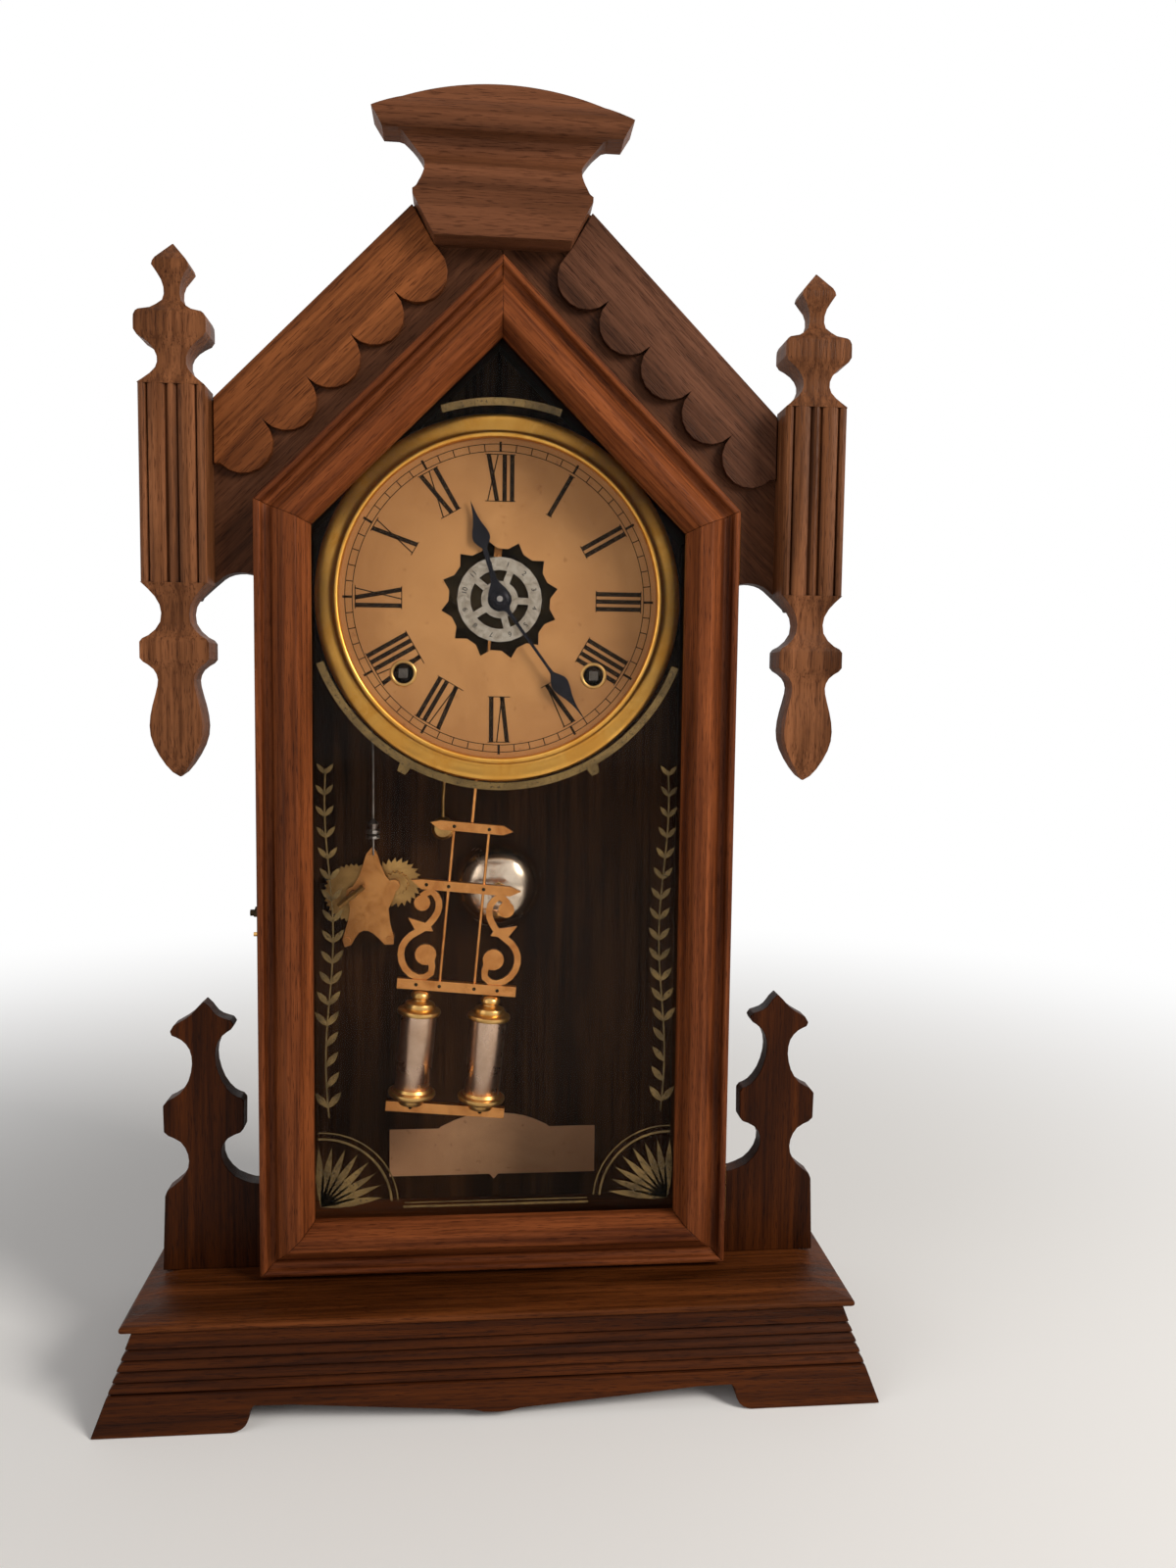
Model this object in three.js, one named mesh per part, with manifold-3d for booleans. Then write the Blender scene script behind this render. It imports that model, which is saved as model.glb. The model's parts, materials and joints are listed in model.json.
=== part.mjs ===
// Gabled walnut shelf clock with time, strike and alarm work.
// Millimetres, +Z up, front towards -Y, origin under the middle of the base.
import * as THREE from "three";
import { mergeVertices } from "three/addons/utils/BufferGeometryUtils.js";
import Module from "manifold-3d";

const wasm = await Module();
wasm.setup();

// ---------------------------------------------------------------- materials
const finish = (color, roughness, metalness) => ({ color, roughness, metalness });
const WALNUT = finish(0x4a2817, 0.45, 0);
const DOOR_WALNUT = finish(0x5e2f1b, 0.4, 0);
const DARK_WALNUT = finish(0x3a2015, 0.5, 0);
const GLASS = finish(0xdfe8e4, 0.05, 0);
const BRASS = finish(0xb98f4a, 0.35, 1);
const STEEL = finish(0x83858a, 0.35, 1);
const BLUED = finish(0x20222a, 0.4, 1);
const NICKEL = finish(0xc9c6bd, 0.2, 1);
const PAPER = finish(0xcfa877, 0.8, 0);
const LABEL = finish(0xb9aa86, 0.85, 0);

// ------------------------------------------------------- driving dimensions
// Clearances: flush faces, mitres, and boards beside the case.
const BOARD_GAP = 0.05;
const MITRE_GAP = 0.03;
const SIDE_GAP = 0.1;

// Case: five-sided box, 45 degree roof. The rest is set out from it.
const CASE_HALF_WIDTH = 93;
const CASE_SHOULDER = 351;
const CASE_BOARD = 8.5;
const CASE_FRONT = -9;
const CASE_INNER_BACK = 54;
const BACK_BOARD = 4.7;
const BACK_BOARD_FRONT = CASE_INNER_BACK + SIDE_GAP;

// Door: mitred moulding round a five-sided glass.
const DOOR_LAP = 2.6;
const DOOR_HALF_WIDTH = CASE_HALF_WIDTH + DOOR_LAP;
const DOOR_SHOULDER_LAP = 1.6;
const DOOR_SHOULDER = CASE_SHOULDER + DOOR_SHOULDER_LAP;
const DOOR_RAIL = 21.3;
const DOOR_STANDOFF = 1.4;
const DOOR_BACK = CASE_FRONT - DOOR_STANDOFF;
const DOOR_THICKNESS = 14.6;
const DOOR_FACE = DOOR_BACK - DOOR_THICKNESS;
const GLASS_THICKNESS = 2;
const GLASS_SETBACK = 2.2;
const GLASS_BACK = DOOR_BACK - GLASS_SETBACK;
const GLASS_FRONT = GLASS_BACK - GLASS_THICKNESS;
const GLASS_INSET = 17.9;

// Base: a top board on three flared, reeded mouldings.
const TOP_SURFACE = 39;
const TOP_BOARD = 5;
const TOP_UNDERSIDE = TOP_SURFACE - TOP_BOARD;
const BASE_BACK = BACK_BOARD_FRONT + BACK_BOARD;
const SIDE_SHELF = 50.7;
const LIP_HALF_WIDTH = CASE_HALF_WIDTH + SIDE_SHELF;
const FRONT_SHELF = 23.3;
const LIP_FRONT = DOOR_FACE - FRONT_SHELF;
const WEATHERING = 14;
const LIP_SIDE_OVERHANG = 4.5;
const FASCIA_HALF_WIDTH = LIP_HALF_WIDTH - LIP_SIDE_OVERHANG;
const LIP_FRONT_OVERHANG = 1.5;
const FASCIA_FRONT = LIP_FRONT + LIP_FRONT_OVERHANG;
const FLARE = 12;
const MOULDING_THICKNESS = 10;
const PLAIN_BAND = 6;
const REED_PITCH = 3.6;
const REED_COUNT = 4;
const REED_DEPTH = 1.2;
const FOOT_LENGTH = 45.7;
const FOOT_INNER = FASCIA_HALF_WIDTH - FOOT_LENGTH;
const FOOT_OPENING = 8.5;
const APRON_DROP = 2.9;
const DOOR_FOOT_GAP = 2;
const DOOR_BOTTOM = TOP_SURFACE + DOOR_FOOT_GAP;

// Ornamental front boards beside and above the case.
const FACADE_FRONT = -8;
const FACADE_BACK = 0;
const GABLE_MARGIN = 60.2;
const GABLE_REACH = CASE_SHOULDER + CASE_HALF_WIDTH + GABLE_MARGIN;
const FACADE_TOP_HALF_WIDTH = 24.2;
const FACADE_TOP = GABLE_REACH - FACADE_TOP_HALF_WIDTH;
const FACADE_TAIL = 37;
const APPLIED_BACK = FACADE_FRONT - BOARD_GAP;
const BARGE_THICKNESS = 3.35;
const BARGE_FRONT = APPLIED_BACK - BARGE_THICKNESS;
const BARGE_DEPTH = 19.32;
const SCALLOP_RADIUS = 12;
const SCALLOP_COUNT = 5;
const SCALLOP_FIRST_X = 33.5;
const CREST_THICKNESS = 15.95;
const CREST_FRONT = APPLIED_BACK - CREST_THICKNESS;
const CREST_LAP = 50.2;
const CREST_BOTTOM = GABLE_REACH - CREST_LAP;
const CREST_HEIGHT = 56.2;
const CREST_HALF_WIDTH = 50.2;

// Fluted columns with their finials and drops.
const COLUMN_OFFSET = 32;
const COLUMN_X = CASE_HALF_WIDTH + COLUMN_OFFSET;
const COLUMN_HALF_WIDTH = 12.4;
const COLUMN_RISE = 43;
const COLUMN_TOP = CASE_SHOULDER + COLUMN_RISE;
const SHAFT_LENGTH = 74.4;
const COLUMN_BOTTOM = COLUMN_TOP - SHAFT_LENGTH;
const COLUMN_THICKNESS = 15.95;
const COLUMN_FRONT = APPLIED_BACK - COLUMN_THICKNESS;

// Butt hinges on the right, hook latch on the left.
const HINGE_OFFSET = 4;
const HINGE_X = CASE_HALF_WIDTH + HINGE_OFFSET;
const HINGE_Y = (CASE_FRONT + DOOR_BACK) / 2;
const HINGE_HEIGHT = 24;
const LOWER_HINGE_RISE = 27;
const UPPER_HINGE_DROP = 13;
const HINGE_CENTRES = {
  lower: TOP_SURFACE + LOWER_HINGE_RISE,
  upper: CASE_SHOULDER - UPPER_HINGE_DROP,
};
const LEAF_WIDTH = 12.2;
const LEAF_INNER = HINGE_X - LEAF_WIDTH;
const LEAF_THICKNESS = 0.55;
const KNUCKLE_RADIUS = 1.25;
const KNUCKLE_GAP = 0.15;
const HINGE_PIN = 0.6;
const LATCH_Y = -2.5;
const LATCH_Z = 182;
const LATCH_REACH = 12.1;
const LATCH_LIFT = 35;

// Dial and hands, set out from the centre arbor.
const DIAL_DROP = 33.4;
const DIAL_Z = CASE_SHOULDER - DIAL_DROP;
const DIAL_FRONT = 5;
const DIAL_PLATE = 1;
const BEZEL_MARGIN = 16.8;
const BEZEL_RADIUS = CASE_HALF_WIDTH - BEZEL_MARGIN;
const BEZEL_LAP = 1.7;
const DIAL_RADIUS = BEZEL_RADIUS - BEZEL_LAP;
const STAR_POINT = 24.7;
const STAR_VALLEY = 21.2;
const STAR_POINTS = 12;
const HAND_THICKNESS = 0.6;
const MINUTE_HAND_FRONT = DIAL_FRONT - 4.1;
const HOUR_HAND_FRONT = DIAL_FRONT - 2.1;
const MINUTE_HAND_LENGTH = 62;
const HOUR_HAND_LENGTH = 42;
const ALARM_DISC_FRONT = DIAL_FRONT - 0.9;
const ALARM_DISC_THICKNESS = 0.7;
const ALARM_DISC_RADIUS = 17.6;
const HOUR_ANGLE = 17;
const MINUTE_ANGLE = -144;

// Movement: two plates with the wheels and mainsprings between them.
const WINDING_X = 39.7;
const WINDING_DROP = 31.1;
const WINDING_Z = DIAL_Z - WINDING_DROP;
const WINDING_HOLE = 4.6;
const PLATE_SETBACK = 12;
const PLATE_FRONT = DIAL_FRONT + PLATE_SETBACK;
const PLATE_THICKNESS = 1.4;
const PLATE_SPACING = 27;
const BACK_PLATE = PLATE_FRONT + PLATE_SPACING;
const SIDE_PILLAR = [49.5, -6];
const PILLAR_RADIUS = 2.6;
const ARBOR_RADIUS = 2.4;
const SPRING_RADIUS = 17.4;
const SPRING_THICKNESS = 0.6;
const SPRING_WIDTH = 13;
const SPRING_TURNS = 4;
const HAMMER_DROP = 35.6;
const HAMMER_AT = [-8, DIAL_Z - HAMMER_DROP];

// Pendulum: hangs on the centre line, caught a few degrees to the left.
const PIVOT_RISE = 27.4;
const PIVOT_Z = DIAL_Z + PIVOT_RISE;
const ESCAPE_RISE = 17.5;
const ESCAPE_Z = PIVOT_Z + ESCAPE_RISE;
const SWING = 5.1;
const PENDULUM_Y = 13;
const BAR_HALF_THICKNESS = 1.6;
const ROD_X = 7.5;
const ROD_RADIUS = 0.65;
const VIAL_X = 15.1;
const VIAL_RADIUS = 7.6;

// Bell on the back board, alarm work to its left.
const BELL_DROP = 127.3;
const BELL = [1, DIAL_Z - BELL_DROP];
const BELL_RADIUS = 20.4;
const BELL_MOUTH = 3.1;
const BELL_DEPTH = 14.2;
const WINDER_MARGIN = 28.5;
const WINDER = [WINDER_MARGIN - CASE_HALF_WIDTH, BELL[1] - 3.3];
const STRIKER = [WINDER[0] + 19.1, WINDER[1] + 4.4];
const ALARM_SETBACK = 10.5;
const ALARM_PLATE_FRONT = BACK_BOARD_FRONT - ALARM_SETBACK;
const LABEL_RISE = 11.4;

// ------------------------------------------------------------------ helpers
const clock = new THREE.Group();
const radians = THREE.MathUtils.degToRad;
const vector = ([x, y]) => new THREE.Vector2(x, y);

// A closed solid of a three.js geometry, turned right side out.
function solid(geometry) {
  const bare = geometry.index ? geometry.toNonIndexed() : geometry.clone();
  bare.deleteAttribute("normal");
  bare.deleteAttribute("uv");
  const merged = mergeVertices(bare, 1e-4);
  const faces = [];
  for (let i = 0; i < merged.index.count; i += 3) {
    const [a, b, c] = [0, 1, 2].map((k) => merged.index.getX(i + k));
    if (a !== b && b !== c && c !== a) faces.push([a, b, c]);
  }
  const build = (triangles) =>
    new wasm.Manifold(
      new wasm.Mesh({
        numProp: 3,
        vertProperties: merged.attributes.position.array,
        triVerts: new Uint32Array(triangles.flat()),
      }),
    );
  const body = build(faces);
  return body.volume() > 0 ? body : build(faces.map(([a, b, c]) => [a, c, b]));
}

// Straight prism of a flat outline, along the third axis of its own frame.
function prism(outline, depth, holes = []) {
  const points = outline.map(vector);
  if (THREE.ShapeUtils.isClockWise(points)) points.reverse();
  const shape = new THREE.Shape(points);
  shape.holes = holes.map((hole) => new THREE.Path(hole.map(vector)));
  return new THREE.ExtrudeGeometry(shape, { depth, bevelEnabled: false });
}

// Outline in X and Z, from y0 back to y1.
const frontBoard = (outline, y0, y1, holes) =>
  solid(prism(outline, y1 - y0, holes).rotateX(Math.PI / 2).translate(0, y1, 0));

// Outline in Y and Z, from x0 to x1.
const SIDEWAYS = new THREE.Matrix4().makeBasis(
  new THREE.Vector3(0, 1, 0),
  new THREE.Vector3(0, 0, 1),
  new THREE.Vector3(1, 0, 0),
);
const sideBoard = (outline, x0, x1) =>
  solid(prism(outline, x1 - x0).applyMatrix4(SIDEWAYS).translate(x0, 0, 0));

// Outline in X and Y, from z0 up to z1.
const layer = (outline, z0, z1) => solid(prism(outline, z1 - z0).translate(0, 0, z0));

const box = (x0, x1, y0, y1, z0, z1) =>
  solid(
    new THREE.BoxGeometry(x1 - x0, y1 - y0, z1 - z0).translate(
      (x0 + x1) / 2,
      (y0 + y1) / 2,
      (z0 + z1) / 2,
    ),
  );

// Turned piece on a front-to-back axis; profile in radius and Y.
const turned = (profile, x, z, segments = 24) =>
  solid(new THREE.LatheGeometry(profile.map(vector), segments).translate(x, 0, z));

// Turned piece on an upright axis; profile in radius and Z.
const turnedUpright = (profile, x, y, segments = 24) =>
  solid(
    new THREE.LatheGeometry(profile.map(vector), segments)
      .rotateX(Math.PI / 2)
      .translate(x, y, 0),
  );

const pin = (x, z, radius, y0, y1, segments = 10) =>
  turned([[0, y0], [radius, y0], [radius, y1], [0, y1]], x, z, segments);

const uprightPin = (x, y, radius, z0, z1, segments = 8) =>
  turnedUpright([[0, z0], [radius, z0], [radius, z1], [0, z1]], x, y, segments);

const crossPin = (y, z, radius, x0, x1, segments = 12) =>
  solid(
    new THREE.CylinderGeometry(radius, radius, x1 - x0, segments)
      .rotateZ(Math.PI / 2)
      .translate((x0 + x1) / 2, y, z),
  );

// Round wire through points.
function wire(points, radius, steps, segments = 6) {
  const path = new THREE.CatmullRomCurve3(points.map((p) => new THREE.Vector3(...p)));
  const outline = new THREE.Path().absarc(0, 0, radius, 0, 2 * Math.PI).getPoints(segments / 2);
  const section = new THREE.Shape(outline);
  return solid(
    new THREE.ExtrudeGeometry(section, { steps, extrudePath: path, bevelEnabled: false }),
  );
}

// Points along an arc, angles in degrees.
function arc(cx, cy, radius, from, to, count) {
  const points = [];
  for (let i = 0; i <= count; i += 1) {
    const angle = radians(from + ((to - from) * i) / count);
    points.push([cx + radius * Math.cos(angle), cy + radius * Math.sin(angle)]);
  }
  return points;
}

const polar = (cx, cy, radius, degrees) => [
  cx + radius * Math.cos(radians(degrees)),
  cy + radius * Math.sin(radians(degrees)),
];

const circle = (cx, cy, radius, count = 24) =>
  arc(cx, cy, radius, 0, 360 - 360 / count, count - 1);

// Points along a smooth curve through the given ones.
const curve = (points, count) =>
  new THREE.SplineCurve(points.map(vector)).getPoints(count).map(({ x, y }) => [x, y]);

// Outline of a strip of even width along a line of points.
function strip(line, width) {
  const edge = (side) =>
    line.map(([x, y], i) => {
      const [ax, ay] = line[Math.max(i - 1, 0)];
      const [bx, by] = line[Math.min(i + 1, line.length - 1)];
      const reach = (side * width) / 2 / Math.hypot(bx - ax, by - ay);
      return [x - (by - ay) * reach, y + (bx - ax) * reach];
    });
  return [...edge(1), ...edge(-1).reverse()];
}

// Outline of a toothed wheel: each tooth rises over `rise` of its pitch and falls over the rest.
function toothed(cx, cy, teeth, root, tip, rise = 0.5) {
  const points = [];
  const step = 360 / teeth;
  for (let i = 0; i < teeth; i += 1) {
    points.push(polar(cx, cy, root, i * step));
    points.push(polar(cx, cy, tip, (i + rise) * step));
  }
  return points;
}

function union(...bodies) {
  return bodies.reduce((sum, body) => sum.add(body));
}

function add(name, body, material) {
  const { vertProperties, triVerts, numProp } = body.getMesh();
  const geometry = new THREE.BufferGeometry();
  geometry.setAttribute(
    "position",
    new THREE.InterleavedBufferAttribute(
      new THREE.InterleavedBuffer(new Float32Array(vertProperties), numProp),
      3,
      0,
    ),
  );
  geometry.setIndex(new THREE.BufferAttribute(new Uint32Array(triVerts), 1));
  const flat = geometry.toNonIndexed();
  flat.computeVertexNormals();
  const mesh = new THREE.Mesh(flat, new THREE.MeshStandardMaterial(material));
  mesh.name = name;
  clock.add(mesh);
}

// A piece and its mirror image across the middle plane.
function addPair(name, right, material) {
  add(`${name}_left`, right.mirror([1, 0, 0]), material);
  add(`${name}_right`, right, material);
}

// --------------------------------------------------------------------- base
{
  // Lip section, from its underside round the nose and up the weathered top.
  const nose = [[1.2, 0], [0.3, 0.5], [0, 1.5], [0.3, 2.5], [1.2, 2.9], [WEATHERING, TOP_BOARD]];
  const lip = nose.map(([inset, up]) => [inset, TOP_UNDERSIDE + up]);
  const across = [
    ...lip.map(([inset, z]) => [-LIP_HALF_WIDTH + inset, z]),
    ...lip.map(([inset, z]) => [LIP_HALF_WIDTH - inset, z]).reverse(),
  ];
  const along = [
    ...lip.map(([inset, z]) => [LIP_FRONT + inset, z]),
    [BASE_BACK, TOP_SURFACE],
    [BASE_BACK, TOP_UNDERSIDE],
  ];
  const top = frontBoard(across, LIP_FRONT - 1, BASE_BACK).intersect(
    sideBoard(along, -LIP_HALF_WIDTH - 1, LIP_HALF_WIDTH + 1),
  );
  add("base_top", top, DARK_WALNUT);

  // Moulding section: outward offset from the fascia line against height.
  const flare = (z) => (FLARE * (TOP_UNDERSIDE - z)) / TOP_UNDERSIDE;
  const top_z = TOP_UNDERSIDE - BOARD_GAP;
  const section = [[-MOULDING_THICKNESS, 0], [-MOULDING_THICKNESS, top_z], [flare(top_z), top_z]];
  for (let i = 0; i <= REED_COUNT; i += 1) {
    const groove = TOP_UNDERSIDE - PLAIN_BAND - i * REED_PITCH;
    section.push([flare(groove + 0.6), groove + 0.6]);
    section.push([flare(groove) - REED_DEPTH, groove]);
    if (i < REED_COUNT) {
      for (const [step, sink] of [[0.8, 0.45], [1.8, 0]]) {
        section.push([flare(groove - step) - sink, groove - step]);
      }
    } else {
      section.push([flare(groove - 0.6), groove - 0.6]);
    }
  }
  section.push([FLARE, 0]);

  const inner_x = FASCIA_HALF_WIDTH - MOULDING_THICKNESS;
  const inner_y = FASCIA_FRONT + MOULDING_THICKNESS;
  const outer_x = FASCIA_HALF_WIDTH + FLARE;
  const outer_y = FASCIA_FRONT - FLARE;

  const front_run = sideBoard(
    section.map(([out, z]) => [FASCIA_FRONT - out, z]),
    -outer_x,
    outer_x,
  );
  const front_region = layer(
    [[-outer_x + MITRE_GAP, outer_y], [outer_x - MITRE_GAP, outer_y],
      [inner_x - MITRE_GAP, inner_y], [-inner_x + MITRE_GAP, inner_y]],
    0,
    TOP_UNDERSIDE,
  );
  // Shaped opening between the feet, with a shallow drop in the middle of the apron.
  const half_opening = [
    ...curve([[0, 0], [5, 0.2], [9, 1], [15, 1.4]], 6).map(([x, up]) => [x, APRON_DROP + up]),
    [FOOT_INNER - 15.5, FOOT_OPENING - 0.2],
    [FOOT_INNER - 1.5, FOOT_OPENING],
    [FOOT_INNER, FOOT_OPENING - 1.5],
    ...curve([[FOOT_INNER, 5], [FOOT_INNER + 1, 2.4], [FOOT_INNER + 3.2, 0.7], [FOOT_INNER + 6, 0]], 5),
    [FOOT_INNER + 6, -1],
  ];
  const opening = [
    ...half_opening,
    ...half_opening.slice(1).map(([x, z]) => [-x, z]).reverse(),
  ];
  add(
    "base_front_moulding",
    front_run.intersect(front_region).subtract(frontBoard(opening, outer_y - 1, inner_y + 1)),
    DARK_WALNUT,
  );

  const side_run = frontBoard(
    section.map(([out, z]) => [FASCIA_HALF_WIDTH + out, z]),
    outer_y,
    BASE_BACK,
  );
  const side_region = layer(
    [
      [inner_x, inner_y + MITRE_GAP],
      [outer_x, outer_y + MITRE_GAP],
      [outer_x, BASE_BACK],
      [inner_x, BASE_BACK],
    ],
    0,
    TOP_UNDERSIDE,
  );
  addPair("base_side_moulding", side_run.intersect(side_region), DARK_WALNUT);
}

// --------------------------------------------------------------------- case
// Corners of the five-sided outline, inset square to its edges.
function houseOutline(half, bottom, shoulder, inset) {
  const slope = Math.tan(radians(22.5));
  const x = half - inset;
  const z = shoulder - inset * slope;
  return [[-x, bottom + inset], [x, bottom + inset], [x, z], [0, z + x], [-x, z]];
}

{
  const outer = houseOutline(CASE_HALF_WIDTH, TOP_SURFACE + BOARD_GAP, CASE_SHOULDER, 0);
  const inner = houseOutline(CASE_HALF_WIDTH, TOP_SURFACE + BOARD_GAP, CASE_SHOULDER, CASE_BOARD);
  const [, outer_foot, outer_shoulder, outer_apex] = outer;
  const [, , inner_shoulder, inner_apex] = inner;
  const side = [
    [inner_shoulder[0], outer_foot[1]],
    outer_foot,
    [outer_shoulder[0], outer_shoulder[1] - BOARD_GAP],
    [inner_shoulder[0], inner_shoulder[1] - BOARD_GAP],
  ];
  addPair("case_side", frontBoard(side, CASE_FRONT, CASE_INNER_BACK), WALNUT);
  const roof = [
    inner_shoulder,
    outer_shoulder,
    [BOARD_GAP, outer_apex[1] - BOARD_GAP],
    [BOARD_GAP, inner_apex[1] - BOARD_GAP],
  ];
  addPair("case_roof", frontBoard(roof, CASE_FRONT, CASE_INNER_BACK), WALNUT);
  add("case_back_board", frontBoard(outer, BACK_BOARD_FRONT, BASE_BACK), WALNUT);
}

// ---------------------------------------------------- front ornament boards
{
  const clear = CASE_HALF_WIDTH + SIDE_GAP;
  const shoulder = CASE_SHOULDER + BOARD_GAP;
  const tail = CASE_SHOULDER - FACADE_TAIL;
  const bracket = curve([[6.4, 1.3], [11.8, 6.3], [16.5, 10], [22, 11.3], [27, 10.6]], 10);
  const right = [
    [MITRE_GAP, FACADE_TOP],
    [GABLE_REACH - FACADE_TOP, FACADE_TOP],
    [COLUMN_X, GABLE_REACH - COLUMN_X],
    [COLUMN_X, tail],
    [COLUMN_X - 5.8, tail],
    ...bracket.map(([inward, up]) => [COLUMN_X - inward, tail + up]),
    [clear, tail + 9.6],
    [clear, shoulder],
    [MITRE_GAP, shoulder + clear - MITRE_GAP],
  ];
  addPair("facade", frontBoard(right, FACADE_FRONT, FACADE_BACK), WALNUT);

  // Bargeboard: straight upper edge, five half-round scallops below.
  const place = (across, along) => [(across + along) / Math.SQRT2, (across - along) / Math.SQRT2];
  const column_side = COLUMN_X - COLUMN_HALF_WIDTH - 0.5;
  const line = GABLE_REACH / Math.SQRT2 - BARGE_DEPTH;
  const first = SCALLOP_FIRST_X * Math.SQRT2 - line;
  const scallops = [];
  for (let i = SCALLOP_COUNT - 1; i >= 0; i -= 1) {
    const [x, z] = place(line, first + 2 * SCALLOP_RADIUS * i);
    scallops.push(...arc(x, z, SCALLOP_RADIUS, -45, -225, 9));
  }
  const outline = [
    [35.4, GABLE_REACH - 35.4],
    [27.2, GABLE_REACH - 49.6],
    ...scallops.slice().reverse(),
    [column_side + 4, GABLE_REACH - column_side - 25.1],
    [column_side + 4, GABLE_REACH - column_side - 4],
  ];
  const limit = [
    [0, CASE_SHOULDER - 11],
    [column_side, CASE_SHOULDER - 11],
    [column_side, FACADE_TOP],
    [0, FACADE_TOP],
  ];
  addPair(
    "bargeboard",
    frontBoard(outline, BARGE_FRONT, APPLIED_BACK).intersect(
      frontBoard(limit, BARGE_FRONT - 1, FACADE_BACK),
    ),
    DOOR_WALNUT,
  );
}

// Crest: sawn outline through a moulding that runs across it.
{
  // Half outline in shares of the half width and the height, from the top down.
  const half = [
    [0, 1],
    ...curve([[0.279, 0.986], [0.677, 0.906], [1, 0.801]], 8),
    [0.922, 0.69],
    [0.807, 0.69],
    ...curve(
      [[0.767, 0.68], [0.687, 0.614], [0.618, 0.527], [0.602, 0.452], [0.624, 0.384], [0.665, 0.331]],
      12,
    ),
    [0.697, 0.313],
    [0.695, 0.278],
    [0.532, 0],
  ].map(([out, up]) => [out * CREST_HALF_WIDTH, CREST_BOTTOM + up * CREST_HEIGHT]);
  const outline = [...half, ...half.slice(1).map(([x, z]) => [-x, z]).reverse()];
  // Moulding section: setback from the foremost line against share of the height.
  const section = [
    [CREST_THICKNESS, -0.02],
    [CREST_THICKNESS, 1.02],
    [2.4, 1.02],
    [2, 0.879],
    ...curve([[1.4, 0.865], [0, 0.81], [0.1, 0.747], [1.6, 0.701], [3.6, 0.687]], 8),
    ...curve([[6, 0.669], [8.2, 0.616], [8, 0.562], [5.8, 0.509]], 7),
    ...curve([[3.7, 0.47], [2.7, 0.409], [3.2, 0.356], [4.7, 0.324]], 6),
    [5, 0.306],
    [2.4, 0.021],
    [2.8, -0.02],
  ].map(([back, up]) => [CREST_FRONT + back, CREST_BOTTOM + up * CREST_HEIGHT]);
  add(
    "crest",
    frontBoard(outline, CREST_FRONT - 1, APPLIED_BACK).intersect(
      sideBoard(section, -CREST_HALF_WIDTH - 1, CREST_HALF_WIDTH + 1),
    ),
    WALNUT,
  );
}

// Column strip: finial, fluted shaft and drop sawn from one piece.
{
  // Half width against height over the shaft, and against depth under it.
  const finial = [
    [0.2, 53.2],
    ...curve(
      [[5.6, 46.6], [6.9, 44.2], [5.9, 42.4], [3.7, 38.8], [2.9, 34.6], [3.9, 30.8], [7.6, 28]],
      10,
    ),
    ...curve([[11.6, 26.9], [13, 25.5], [13.3, 23]], 3),
    [13.3, 19.4],
    ...curve([[12.2, 17.6], [8.6, 15.2], [6, 12], [5.3, 8.6], [6.6, 5.2], [10.2, 1.8]], 8),
  ];
  const drop = [
    ...curve([[9.8, 2.6], [6.6, 6.6], [5.3, 11], [5.9, 15.6], [8.8, 19.4], [12, 21.4]], 7),
    [13, 22.8],
    [13, 29],
    ...curve(
      [[11.9, 30.4], [8.6, 32.8], [6.9, 36.2], [7.1, 40.2], [8.8, 47], [9.9, 54], [9.2, 60.6],
        [6.2, 67.4], [2.4, 73.2]],
      14,
    ),
    [0.2, 75],
  ];
  const profile = [
    ...finial.map(([half, up]) => [half, COLUMN_TOP + up]),
    [COLUMN_HALF_WIDTH, COLUMN_TOP],
    [COLUMN_HALF_WIDTH, COLUMN_BOTTOM],
    ...drop.map(([half, under]) => [half, COLUMN_BOTTOM - under]),
  ];
  const outline = [
    ...profile.map(([half, z]) => [COLUMN_X + half, z]),
    ...profile.map(([half, z]) => [COLUMN_X - half, z]).reverse(),
  ];
  // Front and back are moulded too, less deeply than the sides.
  const middle = (COLUMN_FRONT + APPLIED_BACK) / 2;
  const thickness = (APPLIED_BACK - COLUMN_FRONT) / 2;
  const depth = (half) => Math.min(thickness - 0.3 * (13.3 - half), half + 0.7);
  const section = [
    ...profile.map(([half, z]) => [middle + depth(half), z]),
    ...profile.map(([half, z]) => [middle - depth(half), z]).reverse(),
  ];
  // Shaft front: corner beads, two broad reeds and a narrow middle bead.
  const front = middle - depth(COLUMN_HALF_WIDTH);
  const groove_depth = 1.5;
  const half_front = [
    ...arc(0, 0, 1.7, 90, 20, 2).map(([x, y]) => [x, 1.7 - y]),
    [2.1, groove_depth],
    ...curve([[2.6, 0.6], [4, 0.1], [5.6, 0], [7.2, 0.1], [8.6, 0.6]], 4),
    [9.1, groove_depth],
    ...curve([[9.6, 0.5], [10.7, 0], [11.8, 0.4], [12.5, 1.4]], 3),
  ];
  const flutes = [
    ...half_front.slice(1).map(([u, sink]) => [COLUMN_X - u, front + sink]).reverse(),
    ...half_front.map(([u, sink]) => [COLUMN_X + u, front + sink]),
    [COLUMN_X + 14, front - 2],
    [COLUMN_X - 14, front - 2],
  ];
  const column = frontBoard(outline, COLUMN_FRONT - 1, APPLIED_BACK + 1)
    .intersect(sideBoard(section, COLUMN_X - 20, COLUMN_X + 20))
    .subtract(layer(flutes, COLUMN_BOTTOM, COLUMN_TOP));
  addPair("column", column, WALNUT);
}

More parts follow.
